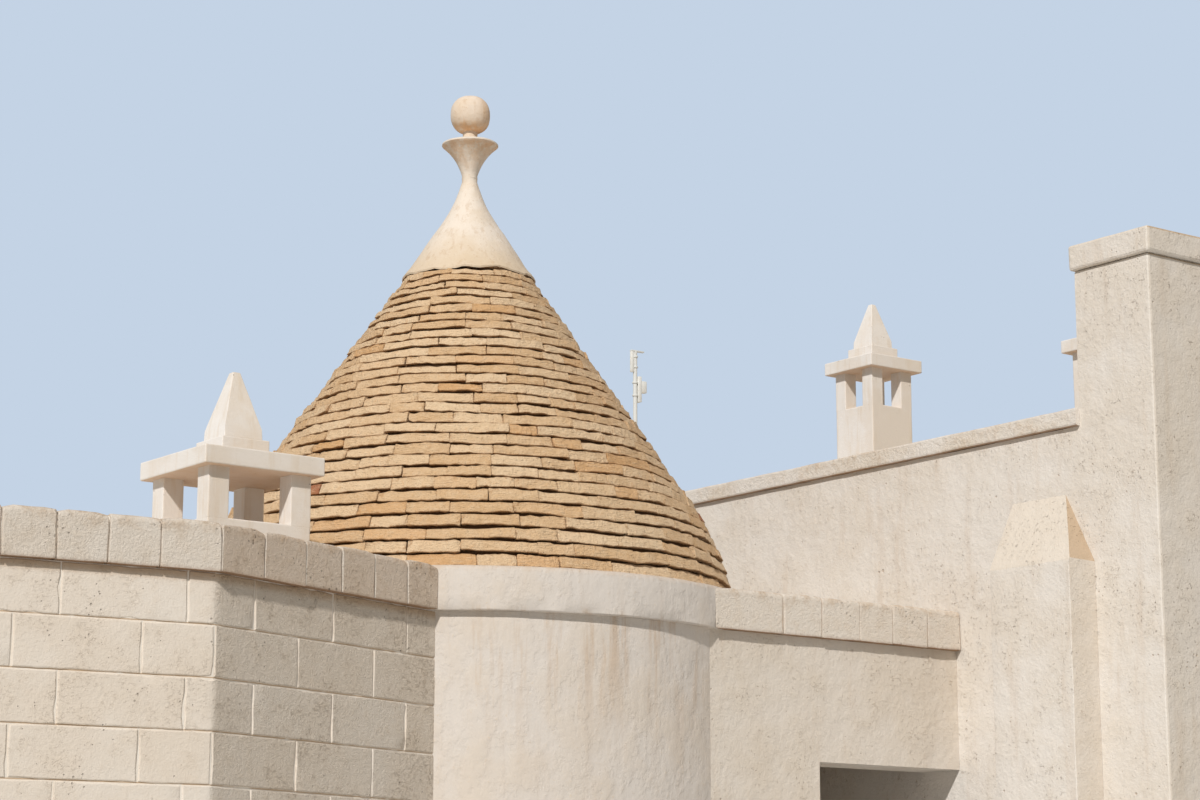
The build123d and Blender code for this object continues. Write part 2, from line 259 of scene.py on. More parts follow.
class TrulloSizes(PropertyGroup):
    """Sizes of the house's stones and joints"""

    seed: IntProperty(
        name="Seed",
        description="Number that the stones' random sizes start from",
        default=7,
        min=0,
    )
    slab_shortest: length("Shortest slab", "Length of the shortest cone slab", 0.14)
    slab_longest: length("Longest slab", "Length of the longest cone slab", 0.5)
    slab_joint: length("Slab joint", "Height of the open joints between courses", 0.0075)
    slab_relief: length("Slab relief", "How far a cone slab's face and edges wander", 0.0075)
    course_wave: length("Course wave", "How far the cone's courses rise and fall", 0.011)
    block_joint: length("Block joint", "Width of the mortar joints in the west wing", 0.008)
    block_proud: length("Block face", "How far the blocks stand out from their mortar", 0.006)
    bend_radius: length("Bend radius", "Radius of the rounded bend in the west wing's walls", 0.1)
    coping_edge: length("Coping edge", "Radius of the copings' worn upper edges", 0.028)
    render_relief: length("Render relief", "How uneven the render of the east wing is", 0.004)
    render_grid: length("Render grid", "Distance between the points that shape the render", 0.09)


class TrulloStage(PropertyGroup):
    """Light, floor and backdrop"""

    sun: FloatProperty(name="Sun", description="Strength of the sun lamp", default=3.05, min=0)
    sky: FloatProperty(name="Sky", description="Strength of the even light", default=0.28, min=0)
    floor: colour("Floor", "Colour of the plain floor", 206, 205, 201)
    backdrop: colour("Backdrop", "Colour of the plain backdrop", 196, 211, 229)
    lens: FloatProperty(
        name="Lens",
        description="Focal length of the camera",
        default=81.5,
        min=1,
        subtype="DISTANCE_CAMERA",
    )


# Materials


class Value:
    """The output of a shader node, with arithmetic that adds Math nodes."""

    def __init__(self, finish, socket):
        self.finish = finish
        self.socket = socket

    def __add__(self, other):
        return self.finish.maths("ADD", self, other)

    def __sub__(self, other):
        return self.finish.maths("SUBTRACT", self, other)

    def __rsub__(self, other):
        return self.finish.maths("SUBTRACT", other, self)

    def __mul__(self, other):
        return self.finish.maths("MULTIPLY", self, other)

    __radd__ = __add__
    __rmul__ = __mul__


class Finish:
    """A surface's material, made from nodes round one Principled shader."""

    def __init__(self, name):
        self.material = bpy.data.materials.new(name)
        self.material.use_nodes = True
        self.nodes = self.material.node_tree.nodes
        self.links = self.material.node_tree.links
        self.shader = next(node for node in self.nodes if node.type == "BSDF_PRINCIPLED")
        self.place = self.node("ShaderNodeTexCoord", output="Object")
        self.base = None

    def feed(self, socket, value):
        """Links or sets one input."""
        if isinstance(value, Value):
            self.links.new(value.socket, socket)
        elif socket.type == "RGBA" and len(value) == 3:
            socket.default_value = (*value, 1)
        else:
            socket.default_value = value

    def node(self, kind, settings=None, inputs=None, output=0):
        """Adds a node: its settings first, then its inputs. Gives back one of its outputs."""
        node = self.nodes.new(kind)
        for name, value in (settings or {}).items():
            setattr(node, name, value)
        for name, value in (inputs or {}).items():
            self.feed(node.inputs[name], value)
        return Value(self, node.outputs[output])

    def maths(self, operation, first, second):
        return self.node("ShaderNodeMath", {"operation": operation}, {0: first, 1: second})

    def lay(self, tint, share=1.0, blend="MIX"):
        """Lays a colour over the ones before it: a share of 0 leaves them and 1 covers them."""
        if self.base is None:
            self.base = tint
            return
        settings = {"data_type": "RGBA", "blend_type": blend}
        inputs = {0: share, 6: self.base, 7: tint}
        self.base = self.node("ShaderNodeMix", settings, inputs, output=2)

    def clouds(self, scale, detail, roughness, stretch=None):
        """Soft random patches, between 0 and 1."""
        place = self.place if stretch is None else self.stretched(stretch)
        inputs = {"Vector": place, "Scale": scale, "Detail": detail, "Roughness": roughness}
        return self.node("ShaderNodeTexNoise", None, inputs)

    def stretched(self, scale):
        """The piece's coordinates, scaled by a different number on each axis."""
        return self.node("ShaderNodeMapping", None, {"Vector": self.place, "Scale": scale})

    def pits(self, scale, spread, wide):
        """Round holes in loose groups: 1 inside each hole and 0 around it."""
        cells = self.node("ShaderNodeTexVoronoi", None, {"Vector": self.place, "Scale": scale})
        return self.rise(cells + self.clouds(spread, 3, 0.6) * 1.2, wide, wide - 0.12)

    def rise(self, value, start, end):
        """A smooth step from 0 at start to 1 at end."""
        inputs = {"Value": value, "From Min": start, "From Max": end}
        return self.node("ShaderNodeMapRange", {"interpolation_type": "SMOOTHSTEP"}, inputs)

    def mark(self, name):
        """A number that the mesh carries at its points."""
        return self.node("ShaderNodeAttribute", {"attribute_name": name}, output="Fac")

    def axis(self, name):
        """One of the piece's coordinates, in metres."""
        return self.node("ShaderNodeSeparateXYZ", None, {"Vector": self.place}, output=name)

    def facing(self, name):
        """How far the surface faces along one axis, from -1 to 1."""
        normal = self.node("ShaderNodeNewGeometry", output="Normal")
        return self.node("ShaderNodeSeparateXYZ", None, {"Vector": normal}, output=name)

    def lay_shade_beneath(self, tint, share):
        """Lays a colour over what faces down, as painted shade."""
        self.lay(tint, self.rise(self.facing("Z"), -0.3, -0.9) * share)

    def done(self, roughness, height=None, shine=0.5):
        """Feeds the shader, with the height of the relief in metres. Gives back the material."""
        self.feed(self.shader.inputs["Base Color"], self.base)
        self.feed(self.shader.inputs["Roughness"], roughness)
        self.shader.inputs["Specular IOR Level"].default_value = shine
        if height is not None:
            inputs = {"Height": height, "Distance": 1.0, "Strength": 1.0}
            self.feed(self.shader.inputs["Normal"], self.node("ShaderNodeBump", None, inputs))
        return self.material


def weathered_slabs(stone, tints):
    """Weathered limestone slabs, each with a tone of its own."""
    tone, hue = stone.mark("tone"), stone.mark("hue")
    blotch = stone.clouds(15.0, 5, 0.65)
    lumps = stone.clouds(44.0, 5, 0.68)
    beds = stone.clouds(22.0, 4, 0.6, stretch=(1.0, 1.0, 6.0))
    stone.lay(tints.slab_honey)
    stone.lay(tints.slab_pale, tone * 0.7 + stone.rise(blotch, 0.38, 0.62) * 0.3)
    stone.lay(tints.orange_and_warm_shade, stone.rise(hue, 0.88, 0.98) * 0.47)
    stone.lay(tints.slab_red, stone.rise(hue, 0.984, 0.99) * 0.8)
    stone.lay(tints.orange_and_warm_shade, stone.rise(blotch * 0.5 + lumps * 0.5, 0.52, 0.62) * 0.3)
    stone.lay(tints.slab_pale, stone.rise(beds, 0.5, 0.66) * 0.35)
    # Brown lichen gathers on the side away from the sun
    side = stone.rise(stone.axis("X"), -0.4, 1.5)
    lichen = stone.rise(lumps * 0.6 + beds * 0.4, 0.54, 0.64)
    stone.lay(tints.joint_earth, lichen * (side * 0.5 + 0.08))
    stone.lay(tints.joint_earth, stone.rise(lumps, 0.42, 0.3) * 0.3)
    # Earth and rust have washed over the edges of each slab
    rim = stone.rise(stone.mark("rim") + lumps * 0.9 + blotch * 0.5, 1.35, 1.75)
    stone.lay(tints.edge_earth_and_shade, rim * 0.55)
    grain = stone.clouds(85.0, 3, 0.7)
    height = beds * 0.013 + blotch * 0.015 + lumps * 0.016 + grain * 0.006
    stone.done(stone.rise(lumps, 0.2, 0.8) * 0.1 + 0.85, height, shine=0.25)


def joint_earth(earth, tints):
    """The dark earth and small packing behind the cone's slabs."""
    lumps = earth.clouds(40.0, 4, 0.7)
    earth.lay(tints.joint_earth)
    earth.lay(tints.soot_and_shade, earth.rise(lumps, 0.4, 0.7))
    earth.done(0.95, lumps * 0.01, shine=0.1)


def limewashed_plaster(coat, tints):
    """Hand-laid plaster, limewashed, with stains that gather below its edges."""
    broad = coat.clouds(1.4, 4, 0.6)
    trowel = coat.clouds(6.5, 4, 0.55, stretch=(1.0, 1.0, 0.6))
    lumps = coat.clouds(26.0, 5, 0.68)
    coat.lay(tints.limewash)
    coat.lay(tints.plaster_stain_and_shade, coat.rise(broad * 0.6 + trowel * 0.4, 0.42, 0.62) * 0.2)
    streaks = coat.rise(coat.clouds(9.0, 4, 0.7, stretch=(1.0, 1.0, 0.1)), 0.5, 0.68)
    height = coat.axis("Z")
    under = coat.rise(height, COPING_FOOT - 0.7, COPING_FOOT)
    under = under * coat.rise(height, COPING_FOOT + 0.04, COPING_FOOT)
    coat.lay(tints.ochre_stain_and_shade, streaks * (under * 0.35 + 0.07))
    lip = coat.rise(height + lumps * 0.06, COPING_TOP - 0.01, COPING_TOP + 0.04)
    coat.lay(tints.ochre_stain_and_shade, lip * 0.4)
    specks = coat.rise(coat.clouds(52.0, 5, 0.75), 0.6, 0.68)
    coat.lay(tints.plaster_stain_and_shade, specks * 0.35)
    steps = coat.rise(trowel * 0.7 + lumps * 0.3, 0.46, 0.54)
    relief = trowel * 0.014 + steps * 0.001 + lumps * 0.003
    coat.done(coat.rise(lumps, 0.3, 0.7) * 0.1 + 0.8, relief, shine=0.3)


def pinnacle_plaster(coat, tints):
    """Smooth plaster on the cone's tip, yellowed at its foot and grey where rain runs."""
    broad = coat.clouds(4.0, 4, 0.6)
    mottle = coat.clouds(20.0, 5, 0.7)
    grain = coat.clouds(75.0, 4, 0.7)
    coat.lay(tints.plaster)
    coat.lay(tints.plaster_stain_and_shade, coat.rise(broad, 0.42, 0.62) * 0.3)
    foot = coat.rise(coat.axis("Z") + mottle * 0.16, CONE_TOP + 0.34, CONE_TOP + 0.04)
    coat.lay(tints.plaster_stain_and_shade, foot * 0.6)
    streaks = coat.rise(coat.clouds(26.0, 4, 0.6, stretch=(1.0, 1.0, 0.08)), 0.53, 0.68)
    coat.lay(tints.ochre_stain_and_shade, streaks * 0.25)
    specks = coat.rise(mottle * 0.4 + grain * 0.6, 0.56, 0.64)
    coat.lay(tints.ochre_stain_and_shade, specks * 0.4)
    lichen = coat.rise(coat.facing("Z"), -0.25, -0.9) * coat.rise(mottle, 0.36, 0.56)
    coat.lay(tints.orange_and_warm_shade, lichen * 0.55)
    # The ball has yellowed a little all over, and painted shade warms and darkens its side away from
    # the sun
    ball_foot = CONE_TOP + TIP_HEIGHT + CUP_HEIGHT
    ball = coat.rise(coat.axis("Z"), ball_foot, ball_foot + 0.1)
    shaded = coat.rise(coat.facing("X"), -0.5, 0.6)
    coat.lay(tints.orange_and_warm_shade, ball * (shaded * 0.3 + 0.12))
    coat.done(coat.rise(grain, 0.3, 0.7) * 0.1 + 0.78, mottle * 0.006 + grain * 0.002, shine=0.3)


def tufa(stone, tints, toned, patchy):
    """The colours of sawn tufa, and its patches from the broadest to the finest."""
    broad = stone.clouds(2.2, 4, 0.6)
    blotch = stone.clouds(11.0, 5, 0.65)
    lumps = stone.clouds(36.0, 5, 0.7)
    grain = stone.clouds(95.0, 4, 0.7)
    stone.lay(tints.tufa)
    tone = stone.mark("tone") * toned + stone.rise(broad, 0.35, 0.65) * patchy
    stone.lay(tints.tufa_warm, tone)
    stone.lay(tints.tufa_warm, stone.rise(blotch, 0.45, 0.68) * 0.3)
    stone.lay(tints.tufa_warm, stone.rise(grain, 0.5, 0.7) * 0.25)
    return broad, blotch, lumps, grain


def pick_marks(stone, tints, patches, side, wide):
    """Lays loose groups of pits and short cuts over tufa, and gives back its relief."""
    broad, blotch, lumps, grain = patches
    pits = stone.pits(36.0, 5.0, wide)
    # The pits are dark with soot, and painted shade darkens them more on faces turned away from the
    # sun
    stone.lay(tints.soot_and_shade, pits * (side * 0.22 + 0.36))
    cuts = stone.rise(stone.clouds(46.0, 4, 0.75, stretch=(1.0, 1.0, 1.5)), 0.53, 0.63)
    cuts = cuts * stone.rise(blotch * 0.5 + broad * 0.5, 0.48, 0.58)
    # The cuts are ochre, and painted shade deepens them on faces turned away from the sun
    stone.lay(tints.ochre_stain_and_shade, cuts * (side * 0.1 + 0.05))
    uneven = blotch * 0.005 + lumps * 0.006 + grain * 0.0045 - 0.0078
    return uneven * (side * 1.9 + 0.55) - pits * 0.004 - cuts * (side * 0.0024 + 0.0012)


def block_tufa(stone, tints):
    """The west wing's blocks, with painted warm shade just below the coping."""
    patches = tufa(stone, tints, 0.38, 0.32)
    lumps = patches[2]
    # Painted shade: the blocks are browned just below the coping, where its shadow falls
    under = stone.rise(stone.axis("Z") + lumps * 0.03, COPING_FOOT - 0.05, COPING_FOOT)
    stone.lay(tints.ochre_stain_and_shade, under * 0.6)
    # Painted shade darkens the faces turned away from the sun
    side = stone.rise(stone.facing("X"), 0.0, 0.35)
    stone.lay(tints.plaster_stain_and_shade, side * 0.13)
    height = pick_marks(stone, tints, patches, side, 0.64)
    stone.done(stone.rise(lumps, 0.2, 0.8) * 0.1 + 0.86, height, shine=0.2)


def coping_tufa(stone, tints):
    """The low copings' stones, rougher than the blocks, with ochre and lichen on their tops, and
    painted shade beneath them and on their faces turned away from the sun.
    """
    patches = tufa(stone, tints, 0.24, 0.16)
    broad, blotch, lumps = patches[:3]
    rough = stone.clouds(62.0, 5, 0.75)
    stone.lay(tints.plaster_stain_and_shade, stone.rise(broad * 0.5 + blotch * 0.5, 0.4, 0.62) * 0.06)
    stone.lay(tints.ochre_stain_and_shade, stone.rise(rough, 0.52, 0.64) * 0.05)
    level = stone.axis("Z")
    up = stone.rise(stone.facing("Z"), 0.2, 0.95)
    top = stone.rise(level + blotch * 0.14, COPING_TOP - 0.02, COPING_TOP + 0.08)
    worn = stone.rise(blotch * 0.5 + lumps * 0.5, 0.4, 0.62)
    stone.lay(tints.ochre_stain_and_shade, worn * (top * 0.36 + up * 0.08))
    foot = stone.rise(level + lumps * 0.04, COPING_FOOT + 0.042, COPING_FOOT + 0.012)
    stone.lay(tints.edge_earth_and_shade, foot * 0.4)
    # Painted shade, browned like a stain as well, on the stones' undersides
    stone.lay_shade_beneath(tints.edge_earth_and_shade, 0.7)
    lichen = stone.rise(stone.clouds(40.0, 6, 0.8), 0.58, 0.67)
    stone.lay(tints.soot_and_shade, lichen * (top * 0.34 + up * 0.04 + 0.04))
    # Painted shade, warmed orange, on the faces turned away from the sun
    side = stone.rise(stone.facing("X"), 0.0, 0.35)
    stone.lay(tints.plaster_stain_and_shade, side * 0.1)
    stone.lay(tints.orange_and_warm_shade, side * 0.2)
    height = pick_marks(stone, tints, patches, side, 0.7) + rough * 0.01
    stone.done(stone.rise(lumps, 0.2, 0.8) * 0.1 + 0.86, height, shine=0.2)


def mortar(lime, tints):
    """Pale lime mortar, brushed into the joints."""
    grain = lime.clouds(90.0, 4, 0.7)
    soft = lime.clouds(6.0, 3, 0.6)
    lime.lay(tints.mortar)
    lime.lay(tints.tufa_warm, lime.rise(soft, 0.4, 0.7) * 0.35)
    # Painted shadow lies in the open upper part of each level joint, under the block above
    course = lime.maths("PINGPONG", lime.axis("Z") - 0.002, BLOCK_COURSE / 2)
    painted_joint_shadow = lime.rise(course, 0.004, 0.002) * lime.rise(soft, 0.3, 0.5)
    lime.lay(tints.ochre_stain_and_shade, painted_joint_shadow * 0.7)
    lime.done(0.92, grain * 0.002, shine=0.2)


def floated_render(coat, tints):
    """Render floated by hand, with soft swells, a few pockets, faint stains, and painted shade on
    its sloping and south faces.
    """
    broad = coat.clouds(0.9, 5, 0.62)
    patch = coat.clouds(3.4, 5, 0.62)
    floated = coat.clouds(9.0, 5, 0.62, stretch=(1.0, 1.0, 0.8))
    lumps = coat.clouds(27.0, 5, 0.7)
    grain = coat.clouds(75.0, 4, 0.75)
    coat.lay(tints.render)
    coat.lay(tints.render_shade, coat.rise(broad * 0.5 + patch * 0.5, 0.4, 0.62) * 0.5)
    coat.lay(tints.render, coat.rise(floated, 0.48, 0.66) * 0.3)
    streaks = coat.rise(coat.clouds(6.0, 4, 0.7, stretch=(1.0, 1.0, 0.14)), 0.52, 0.7)
    coat.lay(tints.ochre_stain_and_shade, streaks * 0.14)
    pits = coat.pits(24.0, 4.0, 0.62)
    scars = coat.rise(coat.clouds(48.0, 5, 0.8), 0.6, 0.66) * coat.rise(patch, 0.44, 0.58)
    # Short cracks in a few patches only
    drag = coat.clouds(5.0, 4, 0.6, stretch=(1.0, 1.0, 2.6))
    cracks = coat.rise(drag, 0.494, 0.5) * coat.rise(drag, 0.506, 0.5)
    cracks = cracks * coat.rise(patch, 0.57, 0.63)
    coat.lay(tints.ochre_stain_and_shade, pits * 0.35 + cracks * 0.35 + scars * 0.3)
    # Painted shade: the sloping faces, which face the sun more, are darkened, and browned more where
    # they face south
    painted_slope_shade = coat.rise(coat.facing("Z"), 0.08, 0.28)
    front = coat.rise(coat.facing("Y"), -0.4, -0.9)
    coat.lay(tints.render_shade, painted_slope_shade * 0.6)
    coat.lay(tints.ochre_stain_and_shade, painted_slope_shade * front * 0.55)
    # Painted shade darkens and browns the faces that face south
    coat.lay(tints.plaster_stain_and_shade, front * 0.2)
    coat.lay(tints.soot_and_shade, front * 0.07)
    swells = patch * 0.018 + floated * 0.005 + lumps * 0.005 + grain * 0.003
    height = swells - pits * 0.004 - cracks * 0.0015 - scars * 0.003
    coat.done(coat.rise(lumps, 0.2, 0.8) * 0.1 + 0.85, height, shine=0.2)


def render_band(coat, tints):
    """The east wing's rendered bands, browned by rain along their tops, with painted shade along
    their undersides.
    """
    patch = coat.clouds(7.0, 5, 0.65)
    drift = coat.clouds(2.0, 4, 0.6)
    lumps = coat.clouds(28.0, 5, 0.7)
    up = coat.rise(coat.facing("Z"), 0.1, 0.9)
    coat.lay(tints.render)
    coat.lay(tints.render_shade, coat.rise(drift, 0.4, 0.6) * 0.6)
    runs = coat.rise(patch * 0.5 + lumps * 0.5, 0.47, 0.6) * coat.rise(drift, 0.36, 0.6)
    coat.lay(tints.ochre_stain_and_shade, runs * 0.26 + 0.03)
    coat.lay(tints.ochre_stain_and_shade, up * coat.rise(patch, 0.34, 0.62) * 0.36)
    # Painted shade, browned like a stain as well, on the band's undersides
    coat.lay_shade_beneath(tints.edge_earth_and_shade, 0.7)
    lichen = coat.rise(coat.clouds(36.0, 6, 0.8), 0.59, 0.68)
    coat.lay(tints.soot_and_shade, lichen * (up * 0.16 + 0.1))
    grain = coat.clouds(75.0, 4, 0.75)
    coat.done(0.9, patch * 0.01 + lumps * 0.008 + grain * 0.003, shine=0.2)


def fine_stone(stone, tints):
    """The chimneys' fine sawn stone, with faint upright veins, and painted shade on its undersides
    and south faces.
    """
    veins = stone.clouds(16.0, 4, 0.65, stretch=(1.0, 1.0, 0.12))
    broad = stone.clouds(3.5, 4, 0.6)
    grain = stone.clouds(90.0, 4, 0.7)
    stone.lay(tints.chimney)
    stone.lay(tints.tufa_warm, stone.rise(broad, 0.42, 0.62) * 0.35)
    stone.lay(tints.plaster_stain_and_shade, stone.rise(veins, 0.5, 0.66) * 0.22)
    up = stone.rise(stone.facing("Z"), 0.3, 0.9)
    lichen = stone.rise(stone.clouds(22.0, 5, 0.7), 0.4, 0.62)
    stone.lay(tints.ochre_stain_and_shade, up * lichen * 0.32)
    # Painted warm shade on the undersides, standing in for light bounced up from the roofs, and
    # painted shade on the faces that face south
    stone.lay_shade_beneath(tints.orange_and_warm_shade, 0.45)
    stone.lay(tints.plaster_stain_and_shade, stone.rise(stone.facing("Y"), -0.3, -0.8) * 0.28)
    pits = stone.pits(30.0, 6.0, 0.58)
    stone.lay(tints.soot_and_shade, pits * 0.4)
    height = veins * 0.0015 + grain * 0.0018 - pits * 0.003
    stone.done(stone.rise(grain, 0.3, 0.7) * 0.1 + 0.78, height, shine=0.3)


def limewashed_screed(screed, tints):
    """The flat roofs' screed, with shallow hollows where water stands."""
    hollow = screed.clouds(0.9, 4, 0.6)
    patch = screed.clouds(6.0, 5, 0.65)
    grain = screed.clouds(70.0, 4, 0.7)
    screed.lay(tints.screed)
    screed.lay(tints.render_shade, screed.rise(hollow, 0.42, 0.6) * 0.5)
    screed.lay(tints.ochre_stain_and_shade, screed.rise(patch, 0.5, 0.7) * 0.22)
    screed.done(0.88, patch * 0.008 + grain * 0.002, shine=0.2)


def floor_flags(flags, tints):
    """Stone flags of the floors, with narrow joints and a worn face."""
    settings = {"offset": 0.5, "squash": 1.0}
    inputs = {
        "Vector": flags.place,
        "Color1": (1.0, 1.0, 1.0),
        "Color2": (0.6, 0.6, 0.6),
        "Mortar": (0.0, 0.0, 0.0),
        "Scale": 1.0,
        "Mortar Size": 0.005,
        "Mortar Smooth": 0.3,
        "Brick Width": 0.5,
        "Row Height": 0.35,
    }
    joints = flags.node("ShaderNodeTexBrick", settings, inputs, output="Fac")
    shade = flags.node("ShaderNodeTexBrick", settings, inputs, output="Color")
    worn = flags.clouds(8.0, 4, 0.6)
    flags.lay(tints.flag)
    flags.lay(tints.tufa_warm, flags.rise(worn, 0.38, 0.62) * 0.4)
    flags.lay(shade, 0.25, blend="MULTIPLY")
    flags.lay(tints.joint_earth, joints * 0.7)
    flags.done(flags.rise(worn, 0.3, 0.7) * 0.2 + 0.5, worn * 0.003 - joints * 0.004)


def worn_paint(metal, tints):
    """White paint on steel, dulled and chipped a little."""
    scuffs = metal.clouds(70.0, 5, 0.75)
    rust = metal.rise(scuffs, 0.64, 0.7)
    metal.lay(tints.mast)
    metal.lay(tints.slab_red, rust * 0.7)
    metal.done(metal.rise(scuffs, 0.3, 0.7) * 0.2 + 0.35, rust * -0.0006)


def matt_plastic(shell, tints):
    """Matt white plastic housings."""
    dust = shell.clouds(35.0, 4, 0.65)
    grain = shell.clouds(400.0, 2, 0.5)
    shell.lay(tints.antenna)
    shell.lay(tints.plaster_stain_and_shade, shell.rise(dust, 0.45, 0.7) * 0.25)
    shell.done(shell.rise(dust, 0.3, 0.7) * 0.15 + 0.45, grain * 0.0003)


@functools.lru_cache(maxsize=None)
def finish(surface):
    """The material that one of the functions above makes, made once and kept."""
    made = Finish(surface.__name__)
    surface(made, bpy.context.scene.trullo_colours)
    return made.material


# Meshes


def wander(place, scale, seed=0.0):
    """A smooth random offset, up to about one each way, that swings about scale times a metre."""
    return noise.noise_vector(place * scale + Vector((seed, -seed * 0.7, seed * 1.3)))


def worn_by(waves, place, seed):
    """How far several waves together move a place."""
    return sum((wander(place, scale, seed) * depth for scale, depth in waves), Vector((0, 0, 0)))


def edges_where(bm, test):
    """The edges whose two ends both pass a test of their place."""
    return [e for e in bm.edges if all(test(v.co) for v in e.verts)]


def sharp_edges(bm, least):
    """The edges whose faces meet at more than an angle in degrees."""
    least = math.radians(least)
    return [e for e in bm.edges if len(e.link_faces) == 2 and e.calc_face_angle() > least]


def soften(bm, edges, width, segments=1):
    """Rounds edges off."""
    bmesh.ops.bevel(
        bm,
        geom=edges,
        offset=width,
        offset_type="OFFSET",
        segments=segments,
        profile=0.5,
        affect="EDGES",
        material=-1,
        clamp_overlap=True,
    )


def box_mesh(low, high):
    """A bmesh of a box between two corners."""
    bm = bmesh.new()
    bmesh.ops.create_cube(bm, size=1)
    low, high = Vector(low), Vector(high)
    bmesh.ops.scale(bm, vec=high - low, verts=bm.verts)
    bmesh.ops.translate(bm, vec=(low + high) / 2, verts=bm.verts)
    return bm


def cut_plane(bm, place, normal, clear=False):
    """Cuts a mesh along a plane, and may take away what lies past it. Gives back the new edges."""
    cut = bmesh.ops.bisect_plane(
        bm,
        geom=bm.verts[:] + bm.edges[:] + bm.faces[:],
        plane_co=place,
        plane_no=normal,
        clear_outer=clear,
        dist=WELD,
    )
    return [part for part in cut["geom_cut"] if isinstance(part, bmesh.types.BMEdge)]


def cut_across(bm, axis, places):
    """Cuts a mesh by planes across one axis."""
    normal = Vector([float(axis == i) for i in range(3)])
    for place in places:
        cut_plane(bm, normal * place, normal)


def spaced(low, high, step):
    """Places between two values, about a step apart, without the ends."""
    parts = max(1, round((high - low) / step))
    return [low + (high - low) * i / parts for i in range(1, parts)]


def cut_grid(bm, low, high, step):
    """Cuts a mesh between two corners into squares about a step wide."""
    for axis in range(3):
        cut_across(bm, axis, spaced(low[axis], high[axis], step))


def as_mesh(bm, name):
    """Turns a bmesh into a mesh and frees it."""
    mesh = bpy.data.meshes.new(name)
    bm.to_mesh(mesh)
    bm.free()
    return mesh


def add_copy(bm, blank):
    """Adds a mesh to a bmesh and gives back its new vertices."""
    start = len(bm.verts)
    bm.from_mesh(blank)
    bm.verts.ensure_lookup_table()
    return bm.verts[start:]


def piece(name, bm, surface, slot, *replaced, crease=CREASE):
    """Makes a finished piece of the house from a bmesh."""
    bmesh.ops.recalc_face_normals(bm, faces=bm.faces)
    mesh = as_mesh(bm, name)
    mesh.polygons.foreach_set("use_smooth", [True] * len(mesh.polygons))
    mesh.set_sharp_from_angle(angle=math.radians(crease))
    mesh.materials.append(finish(surface))
    made = bpy.data.objects.new(name, mesh)
    bpy.context.scene.collection.objects.link(made)
    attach(made, "root")
    if replaced:
        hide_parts(*replaced)


def turned(outline, steps):
    """A closed solid turned about the drum's axis from an outline of radius and height."""
    bm = bmesh.new()
    verts = [bm.verts.new((radius, 0, z)) for radius, z in outline]
    edges = [bm.edges.new(pair) for pair in zip(verts, verts[1:])]
    bmesh.ops.spin(
        bm,
        geom=verts + edges,
        cent=(0, 0, 0),
        axis=(0, 0, 1),
        angle=math.tau,
        steps=steps,
        use_merge=True,
        use_duplicate=False,
    )
    bmesh.ops.remove_doubles(bm, verts=bm.verts, dist=WELD)
    return bm


def arc_through(first, middle, last, count):
    """Points on the circle through three points of an outline, from first to last."""
    (ax, ay), (bx, by), (cx, cy) = first, middle, last
    twice = 2 * (ax * (by - cy) + bx * (cy - ay) + cx * (ay - by))
    a2, b2, c2 = ax * ax + ay * ay, bx * bx + by * by, cx * cx + cy * cy
    ux = (a2 * (by - cy) + b2 * (cy - ay) + c2 * (ay - by)) / twice
    uy = (a2 * (cx - bx) + b2 * (ax - cx) + c2 * (bx - ax)) / twice
    start = math.atan2(ay - uy, ax - ux)
    turn = math.atan2(cy - uy, cx - ux) - start
    turn = (turn + math.pi) % math.tau - math.pi
    radius = math.hypot(ax - ux, ay - uy)
    angles = [start + turn * i / count for i in range(count + 1)]
    return [(ux + radius * math.cos(a), uy + radius * math.sin(a)) for a in angles]


# Cone


def course_level(courses):
    """Height above the coping after a number of courses, which thin out towards the top."""
    thinning = (BOTTOM_COURSE - TOP_COURSE) / (CONE_COURSES - 1)
    return courses * BOTTOM_COURSE - thinning * courses * (courses - 1) / 2


def cone_radius(z):
    """Outer radius of the cone: an arc from its foot up to the knee, then a straight slope."""
    rise = z - COPING_TOP - CONE_KNEE_HEIGHT
    if rise >= 0:
        return CONE_KNEE_RADIUS - rise * math.tan(CONE_SLOPE)
    out = CONE_FOOT_RADIUS - CONE_KNEE_RADIUS
    sag = CONE_KNEE_HEIGHT * math.sin(CONE_SLOPE) - out * math.cos(CONE_SLOPE)
    arc_radius = (out**2 + CONE_KNEE_HEIGHT**2) / (2 * sag)
    centre = CONE_KNEE_RADIUS - arc_radius * math.cos(CONE_SLOPE)
    return centre + math.sqrt(arc_radius**2 - (rise + arc_radius * math.sin(CONE_SLOPE)) ** 2)


def slab_blank():
    """One cone slab, with soft edges and enough points along it to be bent and worn."""
    half = SLAB_BLANK / 2
    bm = box_mesh((-half.x, -SLAB_BLANK.y, -half.z), (half.x, 0, half.z))
    soften(bm, bm.edges[:], SLAB_EDGE)
    cut_across(bm, 0, spaced(-half.x, half.x, SLAB_BLANK.x / 9))
    cut_across(bm, 2, (0,))
    return as_mesh(bm, "slab_blank")


def slab_lengths(chance, around, sizes):
    """Random slab lengths that close one course."""
    longest = min(sizes.slab_longest, around / FEWEST_SLABS)
    usual = min(SLAB_USUAL_LENGTH, longest)
    lengths = []
    while sum(lengths) < around - sizes.slab_shortest:
        lengths.append(chance.triangular(sizes.slab_shortest, longest, usual))
    stretch = around / sum(lengths)
    return [each * stretch for each in lengths]


def stretched_slab(x, real):
    """A place along the blank slab, moved so that its ends keep their shape at the real length."""
    middle = SLAB_BLANK.x / 2 - SLAB_END
    if abs(x) > middle:
        return math.copysign(real / 2 - (SLAB_BLANK.x / 2 - abs(x)), x)
    return x * (real / 2 - SLAB_END) / middle


